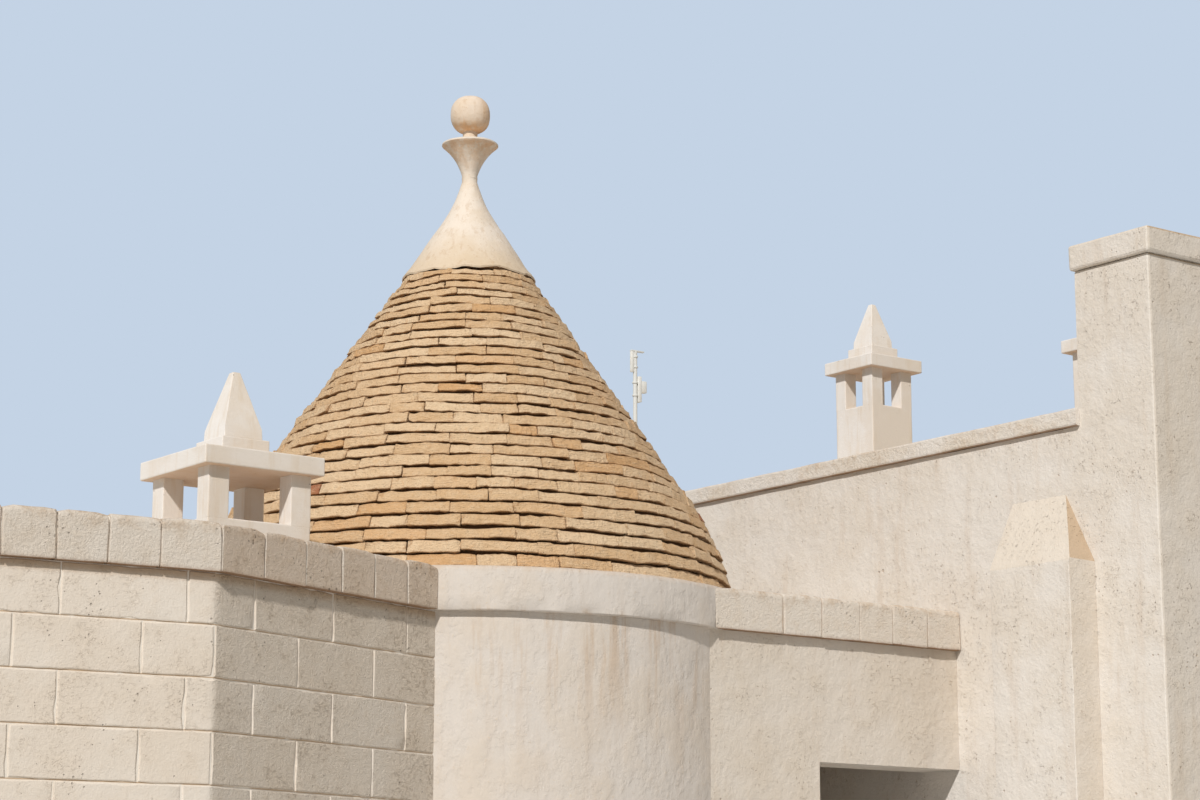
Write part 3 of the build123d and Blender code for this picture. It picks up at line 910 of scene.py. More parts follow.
def lay_slab(verts, marks, chance, sizes, course, angle, long):
    """Bends one slab onto its course and wears it."""
    low = COPING_TOP + course_level(course)
    high = COPING_TOP + course_level(course + 1)
    middle = (low + high) / 2
    radius = cone_radius(middle) + chance.uniform(-SLAB_IN_OR_OUT, SLAB_IN_OR_OUT)
    spare = chance.triangular(0, SLAB_THINNER, 0.001)
    height = high - low - sizes.slab_joint - spare
    middle += chance.uniform(-0.5, 0.3) * spare
    tilt = chance.gauss(0, SLAB_TILT)
    lean = chance.uniform(*SLAB_LEAN)
    yaw = chance.gauss(0, SLAB_YAW)
    seed = chance.uniform(-50, 50)
    tone, hue = chance.random(), chance.random()
    # Only short stones are ever red
    hue = min(hue, 0.98) if long > RED_LONGEST else hue**0.1
    # A slab's face is flatter than the round course that it lies in
    flat = SLAB_FLATNESS * radius
    half_turn = long / 2 / radius
    for vert in verts:
        x, y, z = vert.co
        along = stretched_slab(x, long - SLAB_END_GAP)
        part = z / SLAB_BLANK.z
        turn = along / radius
        spot = Vector((along, y, z))
        worn = wander(spot, 13, seed) * sizes.slab_relief
        fine = wander(spot, 38, seed) * sizes.slab_relief * 0.75
        chord = flat * (1 / math.cos(turn) - 1 - half_turn * half_turn / 6)
        out = radius + y - part * height * lean + yaw * along + chord
        out += worn.y + fine.y
        theta = angle + turn + (worn.x + fine.x) / radius
        # The courses rise and fall together with their neighbours
        ring = Vector((math.cos(theta) * 2.2, math.sin(theta) * 2.2, middle * 1.6))
        wave = noise.noise(ring) * sizes.course_wave
        level = middle + part * height + tilt * along + wave + worn.z + fine.z
        vert.co = (out * math.cos(theta), out * math.sin(theta), level)
        rim = max(abs(part) * 2, abs(x) * 2 / SLAB_BLANK.x - 0.12) ** 2
        for mark, value in zip(marks, (tone, hue, rim)):
            vert[mark] = value


def cone_slabs(sizes):
    """All the slabs of the cone as one mesh."""
    chance = random.Random(sizes.seed)
    blank = slab_blank()
    bm = bmesh.new()
    marks = [bm.verts.layers.float.new(name) for name in ("tone", "hue", "rim")]
    for course in range(CONE_COURSES):
        radius = cone_radius(COPING_TOP + (course_level(course) + course_level(course + 1)) / 2)
        angle = chance.uniform(0, math.tau)
        for long in slab_lengths(chance, math.tau * radius, sizes):
            angle += long / radius
            middle = angle - long / 2 / radius
            lay_slab(add_copy(bm, blank), marks, chance, sizes, course, middle, long)
    return bm


def cone_core():
    """The mass behind the slabs, hollow under the closing stones."""
    levels = [COPING_TOP + (CONE_TOP - COPING_TOP) * i / 24 for i in range(25)]
    outline = [(0, CONE_TOP)]
    outline += [(cone_radius(z) - CORE_BEHIND_SLABS, z) for z in reversed(levels)]
    outline += [(ROOM_RADIUS, COPING_TOP), (VAULT_EYE_RADIUS, VAULT_TOP), (0, VAULT_TOP)]
    return turned(outline, 64)


# Pinnacle


def roughened(bm, scale, depth):
    """Moves a mesh's points a little, as a hand-made surface wanders."""
    for vert in bm.verts:
        broad = wander(vert.co, scale) * depth
        vert.co += broad + wander(vert.co, scale * 3, 9.0) * depth * 0.4
    return bm


def plaster_tip():
    """The plastered point, with an uneven skirt that laps over the top slabs."""
    lower = (TIP_LOWER[0], CONE_TOP + TIP_LOWER[1])
    bow = (TIP_BOW[0], CONE_TOP + TIP_BOW[1])
    top = (NECK_RADIUS, CONE_TOP + TIP_HEIGHT - NECK_STRAIGHT)
    skirt = cone_radius(CONE_TOP) + 0.012
    under = CONE_TOP - 0.02
    hem = CONE_TOP - TIP_HEM
    hem_radius = cone_radius(hem) + 0.014
    # The skirt is hollowed underneath and hangs down to its hem outside the top slabs
    outline = [
        (0, under),
        (skirt - 0.05, under),
        (hem_radius - 0.02, hem),
        (hem_radius, hem - 0.006),
        (hem_radius + 0.002, hem + 0.004),
        ((hem_radius + skirt) / 2 + 0.004, under),
        (skirt, CONE_TOP + 0.004),
    ]
    for i in range(1, 6):
        share = i / 6
        outline.append((skirt + (lower[0] - skirt) * share, CONE_TOP + TIP_LOWER[1] * share))
    outline += arc_through(lower, bow, top, 14)
    outline += [(NECK_RADIUS, CONE_TOP + TIP_HEIGHT), (0, CONE_TOP + TIP_HEIGHT)]
    bm = turned(outline, 72)
    # The hem runs up and down, most of all at its lower edge
    for vert in bm.verts:
        x, y, z = vert.co
        low = max(0.0, 1 - (z - hem) / 0.14)
        if low > 0 and math.hypot(x, y) > 0.2:
            ring = Vector((x, y, 0)).normalized()
            sway = noise.noise(ring * 2.6) * 0.6 + noise.noise(ring * 8) * 0.4
            vert.co.z += sway * 0.03 * low
            vert.co.xy = vert.co.xy * (1 - sway * 0.03 * low * 0.66)
    return roughened(bm, 9, 0.003)


def cup_mesh():
    """The flared cup with its low domed top."""
    foot = CONE_TOP + TIP_HEIGHT
    rim = foot + CUP_HEIGHT
    edge = rim + CUP_EDGE
    crown = edge + CUP_CROWN - STUB_SHOWS
    neck = (NECK_RADIUS, foot + NECK_STRAIGHT)
    flare = (CUP_FLARE[0], foot + CUP_FLARE[1])
    outline = [(0, foot), (NECK_RADIUS, foot)]
    outline += arc_through(neck, flare, (CUP_RADIUS - 0.003, rim), 14)
    outline += [
        (CUP_RADIUS, rim + 0.004),
        (CUP_RADIUS - 0.001, edge),
        (CUP_RADIUS - 0.007, edge + 0.004),
        (0.135, edge + 0.013),
        (0.095, edge + 0.026),
        (0.06, crown - 0.005),
        (BALL_STUB_RADIUS, crown),
        (0, crown),
    ]
    return roughened(turned(outline, 64), 12, 0.0022)


def ball_mesh():
    """The stone ball, a little squared by hand, on its short stub."""
    foot, top = (corner.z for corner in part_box("pinnacle_ball"))
    foot -= STUB_SHOWS
    centre = Vector((0, 0, top - BALL_RADIUS))
    meet = math.asin(BALL_STUB_RADIUS / BALL_RADIUS)
    outline = [(0, foot), (BALL_STUB_RADIUS + 0.004, foot), (BALL_STUB_RADIUS, foot + 0.01)]
    for i in range(25):
        angle = meet + (math.pi - meet) * i / 24
        level = centre.z - BALL_RADIUS * math.cos(angle)
        outline.append((BALL_RADIUS * math.sin(angle), level))
    outline[-1] = (0, top)
    bm = turned(outline, 48)
    for vert in bm.verts:
        way = (vert.co - centre) / BALL_RADIUS
        if abs(way.length - 1) < NEAR:
            sides = (way.x * 0.8 - way.y * 0.6, way.x * 0.6 + way.y * 0.8, way.z)
            way *= sum(abs(side) ** BALL_SQUARED for side in sides) ** (-1 / BALL_SQUARED)
            way.z *= 0.94 if way.z < 0 else 1
            vert.co = centre + way * BALL_RADIUS
    roughened(bm, 14, 0.002)
    for vert in bm.verts:
        vert.co.z = min(vert.co.z, top)
    return bm


# Runs of wall


def turned_by(vector, angle):
    """A plan vector turned to the left by an angle."""
    cosine, sine = math.cos(angle), math.sin(angle)
    return Vector((vector.x * cosine - vector.y * sine, vector.x * sine + vector.y * cosine))


def right_of(way):
    """The plan direction to the right of a way, which is out of the house."""
    return Vector((way.y, -way.x))


class Run:
    """A line of walls in plan with its outer face on the right, along which stones are laid."""

    def __init__(self, corners, start, radius):
        self.corners = corners
        self.ways = [(b - a).normalized() for a, b in zip(corners, corners[1:])]
        self.marks = [start]
        for a, b in zip(corners, corners[1:]):
            self.marks.append(self.marks[-1] + (b - a).length)
        self.turns = [math.atan2(a.cross(b), a.dot(b)) for a, b in zip(self.ways, self.ways[1:])]
        # A square corner is kept tight, and an open one is rounded
        self.radii = [radius if turn < math.radians(45) else 0.01 for turn in self.turns]

    def place(self, along, out):
        """The plan point at a distance along the run and out from its face."""
        for i, (turn, radius) in enumerate(zip(self.turns, self.radii)):
            reach = radius * math.tan(turn / 2)
            past = along - self.marks[i + 1]
            if abs(past) < reach:
                outward = right_of(self.ways[i])
                centre = self.corners[i + 1] - self.ways[i] * reach - outward * radius
                swing = turn * (past + reach) / (2 * reach)
                return centre + turned_by(outward, swing) * (radius + out)
        leg = max(i for i, mark in enumerate(self.marks[:-1]) if along >= mark or i == 0)
        way = self.ways[leg]
        return self.corners[leg] + way * (along - self.marks[leg]) + right_of(way) * out

    def corner_cuts(self, start, end):
        """Where a stone that wraps round a corner is cut so that it can bend."""
        cuts = []
        for mark, turn, radius in zip(self.marks[1:], self.turns, self.radii):
            if start < mark < end:
                reach = radius * math.tan(turn / 2)
                cuts += [mark - reach, mark - reach / 3, mark + reach / 3, mark + reach]
        return cuts


def west_run(radius):
    """The west wing's outer face from the drum's back to its front, measured from the front bend."""
    front = [END_CORNER, BEND, FLANK_END]
    back = [Vector((point.x, -point.y)) for point in reversed(front)]
    first = (FLANK_END - BEND).length + END_WALL - 2 * END_CORNER.y + END_WALL
    return Run(back + front, -first, radius)


MIDDLE = -END_WALL + END_CORNER.y


def both_ways(*joints):
    """Joints from the middle of the end wall to the front, and the same ones at the back."""
    back = {round(2 * MIDDLE - joint, 4) for joint in joints}
    return sorted({round(joint, 4) for joint in joints} | back)


STRETCHER_FRONT = (1.85, 1.48, 0.88, 0.28, -0.14, -0.76, -1.38, -2.0, -2.62)
HEADER_FRONT = (1.85, 1.21, 0.61, 0.0, -0.36, -0.98, -1.6, -2.22)
STRETCHER_JOINTS = both_ways(*STRETCHER_FRONT, -END_WALL - 0.6, MIDDLE + 0.27)
HEADER_JOINTS = both_ways(*HEADER_FRONT, -END_WALL - 0.3, -END_WALL - 0.9, MIDDLE)


@functools.lru_cache(maxsize=None)
def block_blank(long, cuts):
    """A wall block's face, from 0 to its length, cut across where it bends."""
    bm = box_mesh((0, -BLOCK_DEPTH, -BLOCK_HALF_HEIGHT), (long, 0, BLOCK_HALF_HEIGHT))
    soften(bm, edges_where(bm, lambda co: co.y > -NEAR), BLOCK_EDGE, 2)
    cut_across(bm, 0, sorted({*spaced(0.02, long - 0.02, 0.05), *cuts}))
    cut_across(bm, 2, (-0.06, 0.0, 0.06))
    return as_mesh(bm, "block_blank")


def lay_block(verts, run, sizes, first, long, middle, proud, seed):
    """Bends one block onto its run of wall, wears its face and chips its edges."""
    for vert in verts:
        x, y, z = vert.co
        worn = worn_by(BLOCK_WEAR, vert.co, seed)
        chip = noise.noise(Vector((x, 0, z)) * 16 + Vector((0, seed, 0))) - CHIP_LEAST
        chip = max(0.0, chip) * CHIP_DEPTH
        at_end = 1 if min(x, long - x) < 2 * BLOCK_EDGE else 0
        at_bed = 1 if abs(z) > BLOCK_HALF_HEIGHT - 2 * BLOCK_EDGE else 0
        along = (worn.x + math.copysign(chip, long / 2 - x)) * at_end
        out = worn.y * 0.6 - chip * 0.5 * max(at_end, at_bed)
        point = run.place(first + x + along, proud + y + out)
        level = middle + z * (BLOCK_COURSE - sizes.block_joint) / (2 * BLOCK_HALF_HEIGHT)
        vert.co = (point.x, point.y, level + worn.z - math.copysign(chip, z) * at_bed)


def west_blocks(sizes):
    """The tufa blocks of the west wing's walls."""
    chance = random.Random(sizes.seed + 1)
    run = west_run(sizes.bend_radius)
    bm = bmesh.new()
    tone = bm.verts.layers.float.new("tone")
    for course in range(WALL_COURSES):
        below_coping = WALL_COURSES - 1 - course
        joints = HEADER_JOINTS if below_coping % 2 else STRETCHER_JOINTS
        middle = (course + 0.5) * BLOCK_COURSE
        for start, end in zip(joints, joints[1:]):
            nudge = chance.uniform(-0.012, 0.012)
            first = start + sizes.block_joint / 2
            long = round(end - start - sizes.block_joint, 4)
            cuts = tuple(round(cut - first, 4) for cut in run.corner_cuts(start, end))
            proud = sizes.block_proud + chance.uniform(-0.001, 0.0015)
            shade = chance.betavariate(1.6, 2.4) + nudge
            verts = add_copy(bm, block_blank(long, cuts))
            lay_block(verts, run, sizes, first, long, middle, proud, chance.uniform(-50, 50))
            for vert in verts:
                vert[tone] = shade
    return bm


# Copings


@functools.lru_cache(maxsize=None)
def coping_blank(edge):
    """A coping stone, from 0 to 1 along, from the wall's inner face to its outer edge."""
    half = (COPING_TOP - COPING_FOOT) / 2
    bm = box_mesh((0, -WALL_THICKNESS, -half), (COPING_BLANK_LENGTH, COPING_PROJECTION, half))
    upper = edges_where(bm, lambda co: co.z > 0)
    soften(bm, [e for e in upper if abs(e.verts[0].co.x - e.verts[1].co.x) > 0.1], edge, 3)
    soften(bm, sharp_edges(bm, 50), 0.007, 2)
    cut_across(bm, 0, (0.01, 0.06, 0.14, 0.22, 0.27))
    cut_across(bm, 1, (COPING_PROJECTION - edge - 0.006,))
    cut_across(bm, 2, (-half + 0.012, -0.04, 0.04, half - edge - 0.006))
    bmesh.ops.scale(bm, vec=(1 / COPING_BLANK_LENGTH, 1, 1), verts=bm.verts)
    return as_mesh(bm, "coping_blank")


def to_drum(corner, way, out):
    """How far along a leg its line at a distance out meets the drum's coping."""
    start = corner + right_of(way) * out
    towards = start.dot(way)
    return -towards - math.sqrt(towards**2 - start.length_squared + COPING_MEETS_DRUM**2)


def lay_copings(bm, tone, corner, way, joints, ends, chance, sizes):
    """Lays coping stones along one leg of wall. Each end is a function of the distance out."""
    outward = right_of(way)
    edges = [ends[0], *[lambda out, at=joint: at for joint in joints], ends[1]]
    middle = (COPING_FOOT + COPING_TOP) / 2
    for first, last in zip(edges, edges[1:]):
        seed = chance.uniform(-50, 50)
        shade = chance.betavariate(1.6, 2.0)
        sink = chance.uniform(0.0005, 0.005)
        shift = chance.uniform(-0.002, 0.002)
        lean = chance.gauss(0, 0.006)
        for vert in add_copy(bm, coping_blank(sizes.coping_edge)):
            share, out, z = vert.co
            start, end = first(out) + COPING_HALF_JOINT, last(out) - COPING_HALF_JOINT
            along = start + (end - start) * share
            worn = worn_by(COPING_WEAR, Vector((along, out, z)), seed)
            # The upper corners at a joint are worn down most
            if z > 0.05 and abs(share - 0.5) > 0.45:
                worn.z -= abs(noise.noise(Vector((seed, share * 3, out * 6)))) * CORNER_WEAR
            worn.z = min(worn.z, sink) if z > 0 else worn.z * 0.5
            out = min(out + shift + worn.y * 0.8, COPING_PROJECTION)
            point = corner + way * (along + worn.x) + outward * out
            level = middle + z + worn.z + lean * (share - 0.5) * 0.3 - (sink if z > 0 else 0)
            vert.co = (point.x, point.y, min(level, COPING_TOP))
            vert[tone] = shade


def coping_joints(bm, corner, way, joints):
    """Lays the mortar between the coping stones along one leg of wall."""
    outward = right_of(way)
    half = BED_WIDTH / 2
    inner, outer = -WALL_THICKNESS + BED_BEHIND_BACK, COPING_PROJECTION - BED_BEHIND_FACE
    foot, top = COPING_FOOT + BED_BEHIND_BACK, COPING_TOP - BED_BELOW_TOP
    for joint in joints:
        bed = box_mesh((joint - half, inner, foot), (joint + half, outer, top))
        upper = edges_where(bed, lambda co: co.y > 0 and co.z > COPING_FOOT + 0.1)
        soften(bed, upper, 0.028, 3)
        for vert in bed.verts:
            along, out, z = vert.co
            point = corner + way * along + outward * out
            vert.co = (point.x, point.y, z)
        add_copy(bm, as_mesh(bed, "joint"))


def mitre(mark, turn, sign):
    """The end of a leg at a corner, on the line that halves the corner."""
    return lambda out: mark + sign * out * math.tan(turn / 2)


def from_far_end(long, joints):
    """The same joints, measured from a leg's other end."""
    return [long - joint for joint in reversed(joints)]


def west_copings(sizes):
    """The coping stones of the west wing, and the mortar between them."""
    chance = random.Random(sizes.seed + 2)
    bm, beds = bmesh.new(), bmesh.new()
    tone = bm.verts.layers.float.new("tone")
    run = west_run(0)
    flank = (FLANK_END - BEND).length
    joints_of_legs = (
        from_far_end(flank, FLANK_COPING_JOINTS),
        FRONT_COPING_JOINTS,
        spaced(0, -2 * END_CORNER.y, END_COPING_SPACING),
        from_far_end(END_WALL, FRONT_COPING_JOINTS),
        FLANK_COPING_JOINTS,
    )
    # The first and the last leg end at the drum, and the first is measured from its far end
    to_back = lambda out: flank - to_drum(run.corners[1], -run.ways[0], -out)
    to_front = lambda out: to_drum(run.corners[4], run.ways[4], out)
    longs = [(b - a).length for a, b in zip(run.corners, run.corners[1:])]
    starts = [to_back] + [mitre(0, turn, -1) for turn in run.turns]
    finishes = [mitre(long, turn, 1) for long, turn in zip(longs, run.turns)] + [to_front]
    for leg in zip(run.corners, run.ways, joints_of_legs, starts, finishes):
        corner, way, joints, start, end = leg
        lay_copings(bm, tone, corner, way, joints, (start, end), chance, sizes)
        coping_joints(beds, corner, way, joints)
    return bm, beds


def link_copings(sizes, beds):
    """The coping stones of the link on both its sides, with more mortar for the joints."""
    chance = random.Random(sizes.seed + 3)
    bm = bmesh.new()
    tone = bm.verts.layers.float.new("tone")
    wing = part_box("link_front_coping")[1].x
    drum = lambda out: math.sqrt(COPING_MEETS_DRUM**2 - (LINK_FACE + out) ** 2)
    front = (Vector((1, 0)), LINK_COPING_JOINTS, (drum, lambda out: wing))
    back_joints = from_far_end(0, LINK_COPING_JOINTS)
    back = (Vector((-1, 0)), back_joints, (lambda out: -wing, lambda out: -drum(out)))
    for way, joints, ends in (front, back):
        corner = right_of(way) * LINK_FACE
        lay_copings(bm, tone, corner, way, joints, ends, chance, sizes)
        coping_joints(beds, corner, way, joints)
    return bm


def drum_coping(sizes):
    """The drum's plastered band, with a worn upper edge."""
    edge = sizes.coping_edge
    face = DRUM_COPING_RADIUS - 0.001
    outline = [
        (ROOM_RADIUS, COPING_FOOT),
        (DRUM_COPING_RADIUS - 0.006, COPING_FOOT),
        (face, COPING_FOOT + 0.006),
        (face, COPING_FOOT + 0.08),
        (face, COPING_FOOT + 0.15),
    ]
    for i in range(5):
        angle = math.pi / 2 * i / 4
        radius = DRUM_COPING_RADIUS - edge + edge * math.cos(angle)
        outline.append((radius, COPING_TOP - edge + edge * math.sin(angle)))
    outline += [(1.5, COPING_TOP), (ROOM_RADIUS, COPING_TOP), (ROOM_RADIUS, COPING_FOOT)]
    bm = turned(outline, 96)
    for vert in bm.verts:
        out = vert.co.xy.length
        if out > DRUM_RADIUS:
            worn = wander(vert.co, 4) * 0.004 + wander(vert.co, 14, 3.0) * 0.002
            vert.co.xy *= 1 - abs(worn.x) / out
            vert.co.z += -abs(worn.z) if vert.co.z > COPING_TOP - 0.05 else worn.z * 0.5
    return bm


# Render


def met_faces(low, high, others):
    """The faces of a box that lie against another box, each as an axis and a side."""
    met = set()
    for other_low, other_high in others:
        for axis in range(3):
            across = [k for k in range(3) if k != axis]
            if all(other_low[k] < high[k] - NEAR and other_high[k] > low[k] + NEAR for k in across):
                if abs(other_high[axis] - low[axis]) < NEAR:
                    met.add((axis, -1))
                if abs(other_low[axis] - high[axis]) < NEAR:
                    met.add((axis, 1))
    return met


def render_wander(place, sizes):
    """How far the hand that floated the render strayed at a place."""
    broad = wander(place, 3.2) * sizes.render_relief
    return broad + wander(place, 10, 5.0) * sizes.render_relief * 0.6


def rough_box(bm, low, high, sizes, rounded, others, round_width=0.012):
    """Adds a rendered block: a box on a grid whose open faces wander in and out of true."""
    met = met_faces(low, high, others)
    block = box_mesh(low, high)
    middles = ((e, (e.verts[0].co + e.verts[1].co) / 2) for e in block.edges)
    edges = [e for e, middle in middles if any(test(middle) for test in rounded)]
    soften(block, edges, round_width, 2)
    cut_grid(block, low, high, sizes.render_grid)
    for vert in block.verts:
        worn = render_wander(vert.co, sizes)
        for axis in range(3):
            from_face = min(vert.co[axis] - low[axis], high[axis] - vert.co[axis])
            if from_face < round_width + NEAR:
                side = 1 if vert.co[axis] > (low[axis] + high[axis]) / 2 else -1
                vert.co[axis] -= 0 if (axis, side) in met else side * abs(worn[axis])
    bmesh.ops.recalc_face_normals(block, faces=block.faces)
    add_copy(bm, as_mesh(block, "render_block"))
    return bm


def beside(axis_values):
    """A test for edges whose middles lie at given values on some axes."""
    return lambda point: all(abs(point[axis] - value) < NEAR for axis, value in axis_values.items())


EAST_WALLS = (
    "east_wing_west_wall_front",
    "east_wing_west_wall_back",
    "east_wing_passage_head",
    "east_wing_front_wall",
    "east_wing_end_wall",
    "east_wing_back_wall",
)


def east_walls(sizes):
    """The east wing's rendered walls."""
    bm = bmesh.new()
    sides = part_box("east_wing_west_wall_back")[0].x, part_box("east_wing_end_wall")[1].x
    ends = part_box("east_wing_back_wall")[1].y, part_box("east_wing_front_wall")[0].y
    outer = [beside({0: x, 1: y}) for x in sides for y in ends]
    others = [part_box(name) for name in (*EAST_WALLS, "stack_shaft")]
    for name in EAST_WALLS:
        rough_box(bm, *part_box(name), sizes, outer, others)
    return bm


def stack_mesh(node, sizes, width):
    """The stack's shaft or its cap, with blunt, uneven edges."""
    low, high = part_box(node)
    corners = [beside({0: x, 1: y}) for x, y in ((low.x, low.y), (high.x, high.y))]
    rims = [beside({2: high.z})]
    if node == "stack_cap":
        rims.append(beside({2: low.z}))
        corners += [beside({0: x, 1: y}) for x, y in ((low.x, high.y), (high.x, low.y))]
    others = [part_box(name) for name in EAST_WALLS]
    return rough_box(bmesh.new(), low, high, sizes, corners + rims, others, width)


def east_copings(sizes):
    """The band round the top of the east wing's walls."""
    bm = bmesh.new()
    low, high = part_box("east_wing_coping")
    inner_x, end_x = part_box("east_wing_west_wall_back")[1].x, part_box("east_wing_end_wall")[0].x
    front_y, back_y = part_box("east_wing_front_wall")[1].y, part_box("east_wing_back_wall")[0].y
    stack_x, stack_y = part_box("stack_shaft")[1].xy
    spans = (
        ((low.x, stack_y), (inner_x, high.y)),
        ((end_x, low.y), (high.x, high.y)),
        ((inner_x, back_y), (end_x, high.y)),
        ((stack_x, low.y), (end_x, front_y)),
    )
    bands = [(Vector((*first, low.z)), Vector((*last, high.z))) for first, last in spans]
    for band in bands:
        outer = []
        for corner, limit in zip(band, (low, high)):
            for axis in (0, 1):
                if corner[axis] == limit[axis]:
                    outer += [beside({axis: limit[axis], 2: z}) for z in (low.z, high.z)]
        rough_box(bm, *band, sizes, outer, bands)
    return bm


def buttress_mesh(sizes):
    """The pier beside the stack, its head sloped back to the wall on two sides."""
    low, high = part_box("buttress")
    block = box_mesh(low, high)
    rise = high.z - PIER_TOP
    for slope in ((-rise, 0, high.x - low.x), (0, -rise, BUTTRESS_HIP)):
        rim = cut_plane(block, (low.x, low.y, PIER_TOP), slope, clear=True)
        bmesh.ops.holes_fill(block, edges=rim)
    # The edges against the wall stay sharp
    open_edges = [e for e in sharp_edges(block, 20) if max(v.co.x for v in e.verts) < high.x - NEAR]
    soften(block, open_edges, 0.01, 2)
    cut_grid(block, low, high, sizes.render_grid)
    for vert in block.verts:
        if vert.co.x < high.x - 1e-3:
            worn = render_wander(vert.co, sizes)
            vert.co += Vector((abs(worn.x), worn.y * 0.5, 0))
    return block


# Chimneys


def dressed_box(bm, low, high, edge):
    """Adds a sawn stone block with slightly worn edges."""
    block = box_mesh(low, high)
    soften(block, block.edges[:], edge, 2)
    cut_grid(block, low, high, DRESSED_GRID)
    for vert in block.verts:
        vert.co += wander(vert.co, 11) * DRESSED_WEAR
    add_copy(bm, as_mesh(block, "dressed_block"))
    return bm


def four_posts(bm, low, high, side, edge):
    """Four square posts inside a box, let a little into the stones above and below them."""
    foot, head = low[2] - POST_LET_IN, high[2] + POST_LET_IN
    for x in (low[0], high[0] - side):
        for y in (low[1], high[1] - side):
            dressed_box(bm, (x, y, foot), (x + side, y + side, head), edge)
    return bm


def point_mesh(node, plinth, width, skirt, tip, edge):
    """A chimney's blunt pyramid on its skirt and plinth, whose heights are given."""
    low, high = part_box(node)
    x, y = (low.x + high.x) / 2, (low.y + high.y) / 2
    foot = low.z + plinth
    half = width / 2
    eaves = foot + skirt
    bm = dressed_box(bmesh.new(), low, (high.x, high.y, foot), edge)
    block = box_mesh((x - half, y - half, foot), (x + half, y + half, high.z))
    cut_across(block, 2, (eaves,))
    for vert in block.verts:
        share = max(0.0, (vert.co.z - eaves) / (high.z - eaves))
        reach = half + (tip / 2 - half) * share
        vert.co.x = x + math.copysign(reach, vert.co.x - x)
        vert.co.y = y + math.copysign(reach, vert.co.y - y)
    soften(block, sharp_edges(block, 15), edge, 2)
    cut_across(block, 2, spaced(eaves + 0.03, high.z - 0.02, 0.06))
    for vert in block.verts:
        vert.co += wander(vert.co, 12) * 0.0012
    add_copy(bm, as_mesh(block, "point_block"))
    return bm


# Mast


def tube(low_z, high_z, radius, x, y, steps=20):
    """A short upright tube or collar with a softened rim."""
    bevel = min(0.003, radius / 4)
    outline = [(0, low_z), (radius - bevel, low_z), (radius, low_z + bevel)]
    outline += [(radius, high_z - bevel), (radius - bevel, high_z), (0, high_z)]
    bm = turned(outline, steps)
    bmesh.ops.translate(bm, vec=(x, y, 0), verts=bm.verts)
    return bm


def mast_mesh():
    """The pole, with its foot plate, cap and the clamps that hold the housings."""
    low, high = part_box("antenna_mast")
    x, y = (low.x + high.x) / 2, (low.y + high.y) / 2
    radius = (high.x - low.x) / 2
    plate_top = low.z + 0.012
    # The pole, its cap, its foot plate and the collar that stands on the plate
    tubes = [
        tube(low.z, high.z - 0.004, radius * 0.94, x, y),
        tube(high.z - 0.014, high.z, radius, x, y),
        tube(low.z, plate_top, radius * 3.2, x, y, 28),
        tube(plate_top, low.z + 0.05, radius * 1.35, x, y),
    ]
    # Four bolts hold the foot plate, and two clamps hold each housing
    reach = radius * 2.4
    for angle in (45, 135, 225, 315):
        turn = math.radians(angle)
        bolt = (x + reach * math.cos(turn), y + reach * math.sin(turn))
        tubes.append(tube(plate_top, low.z + 0.024, 0.008, *bolt, 6))
    for name in ("antenna_box", "antenna_panel"):
        box_low, box_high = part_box(name)
        for share in (0.25, 0.75):
            z = box_low.z + (box_high.z - box_low.z) * share
            tubes.append(tube(z - 0.008, z + 0.008, radius * 1.3, x, y))
    bm = bmesh.new()
    for each in tubes:
        add_copy(bm, as_mesh(each, "mast_part"))
    return bm


def housing(bm, low, high):
    """Adds a plastic housing with rounded corners and a seam round it."""
    shell = box_mesh(low, high)
    upright = [e for e in shell.edges if abs(e.verts[0].co.z - e.verts[1].co.z) > 0.05]
    soften(shell, upright, min(high[0] - low[0], high[1] - low[1]) * 0.18, 3)
    soften(shell, sharp_edges(shell, 50), 0.003, 2)
    # The seam is a shallow groove behind the middle
    seam = low[1] + (high[1] - low[1]) * 0.7
    groove = [seam - 0.0015, seam + 0.0015]
    cut_across(shell, 1, groove)
    strip = [f for f in shell.faces if groove[0] < f.calc_center_median().y < groove[1]]
    inset = {"thickness": 0.0002, "depth": -0.0015, "use_even_offset": True}
    bmesh.ops.inset_region(shell, faces=strip, **inset)
    add_copy(bm, as_mesh(shell, "housing"))
    return bm


def antenna_box():
    """The tall housing beside the mast, and the lower one on its far side."""
    low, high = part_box("antenna_box")
    split = low.x + 0.03
    middle = (low.y + high.y) / 2
    bm = housing(bmesh.new(), low, (split, high.y, high.z))
    near = (split, middle - 0.02, high.z - 0.12)
    return housing(bm, near, (high.x, middle + 0.02, high.z - 0.032))


def mast_bar():
    """The flat bar across the mast's top."""
    bm = box_mesh(*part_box("mast_bar"))
    soften(bm, bm.edges[:], 0.0015, 2)
    return bm


# Operators


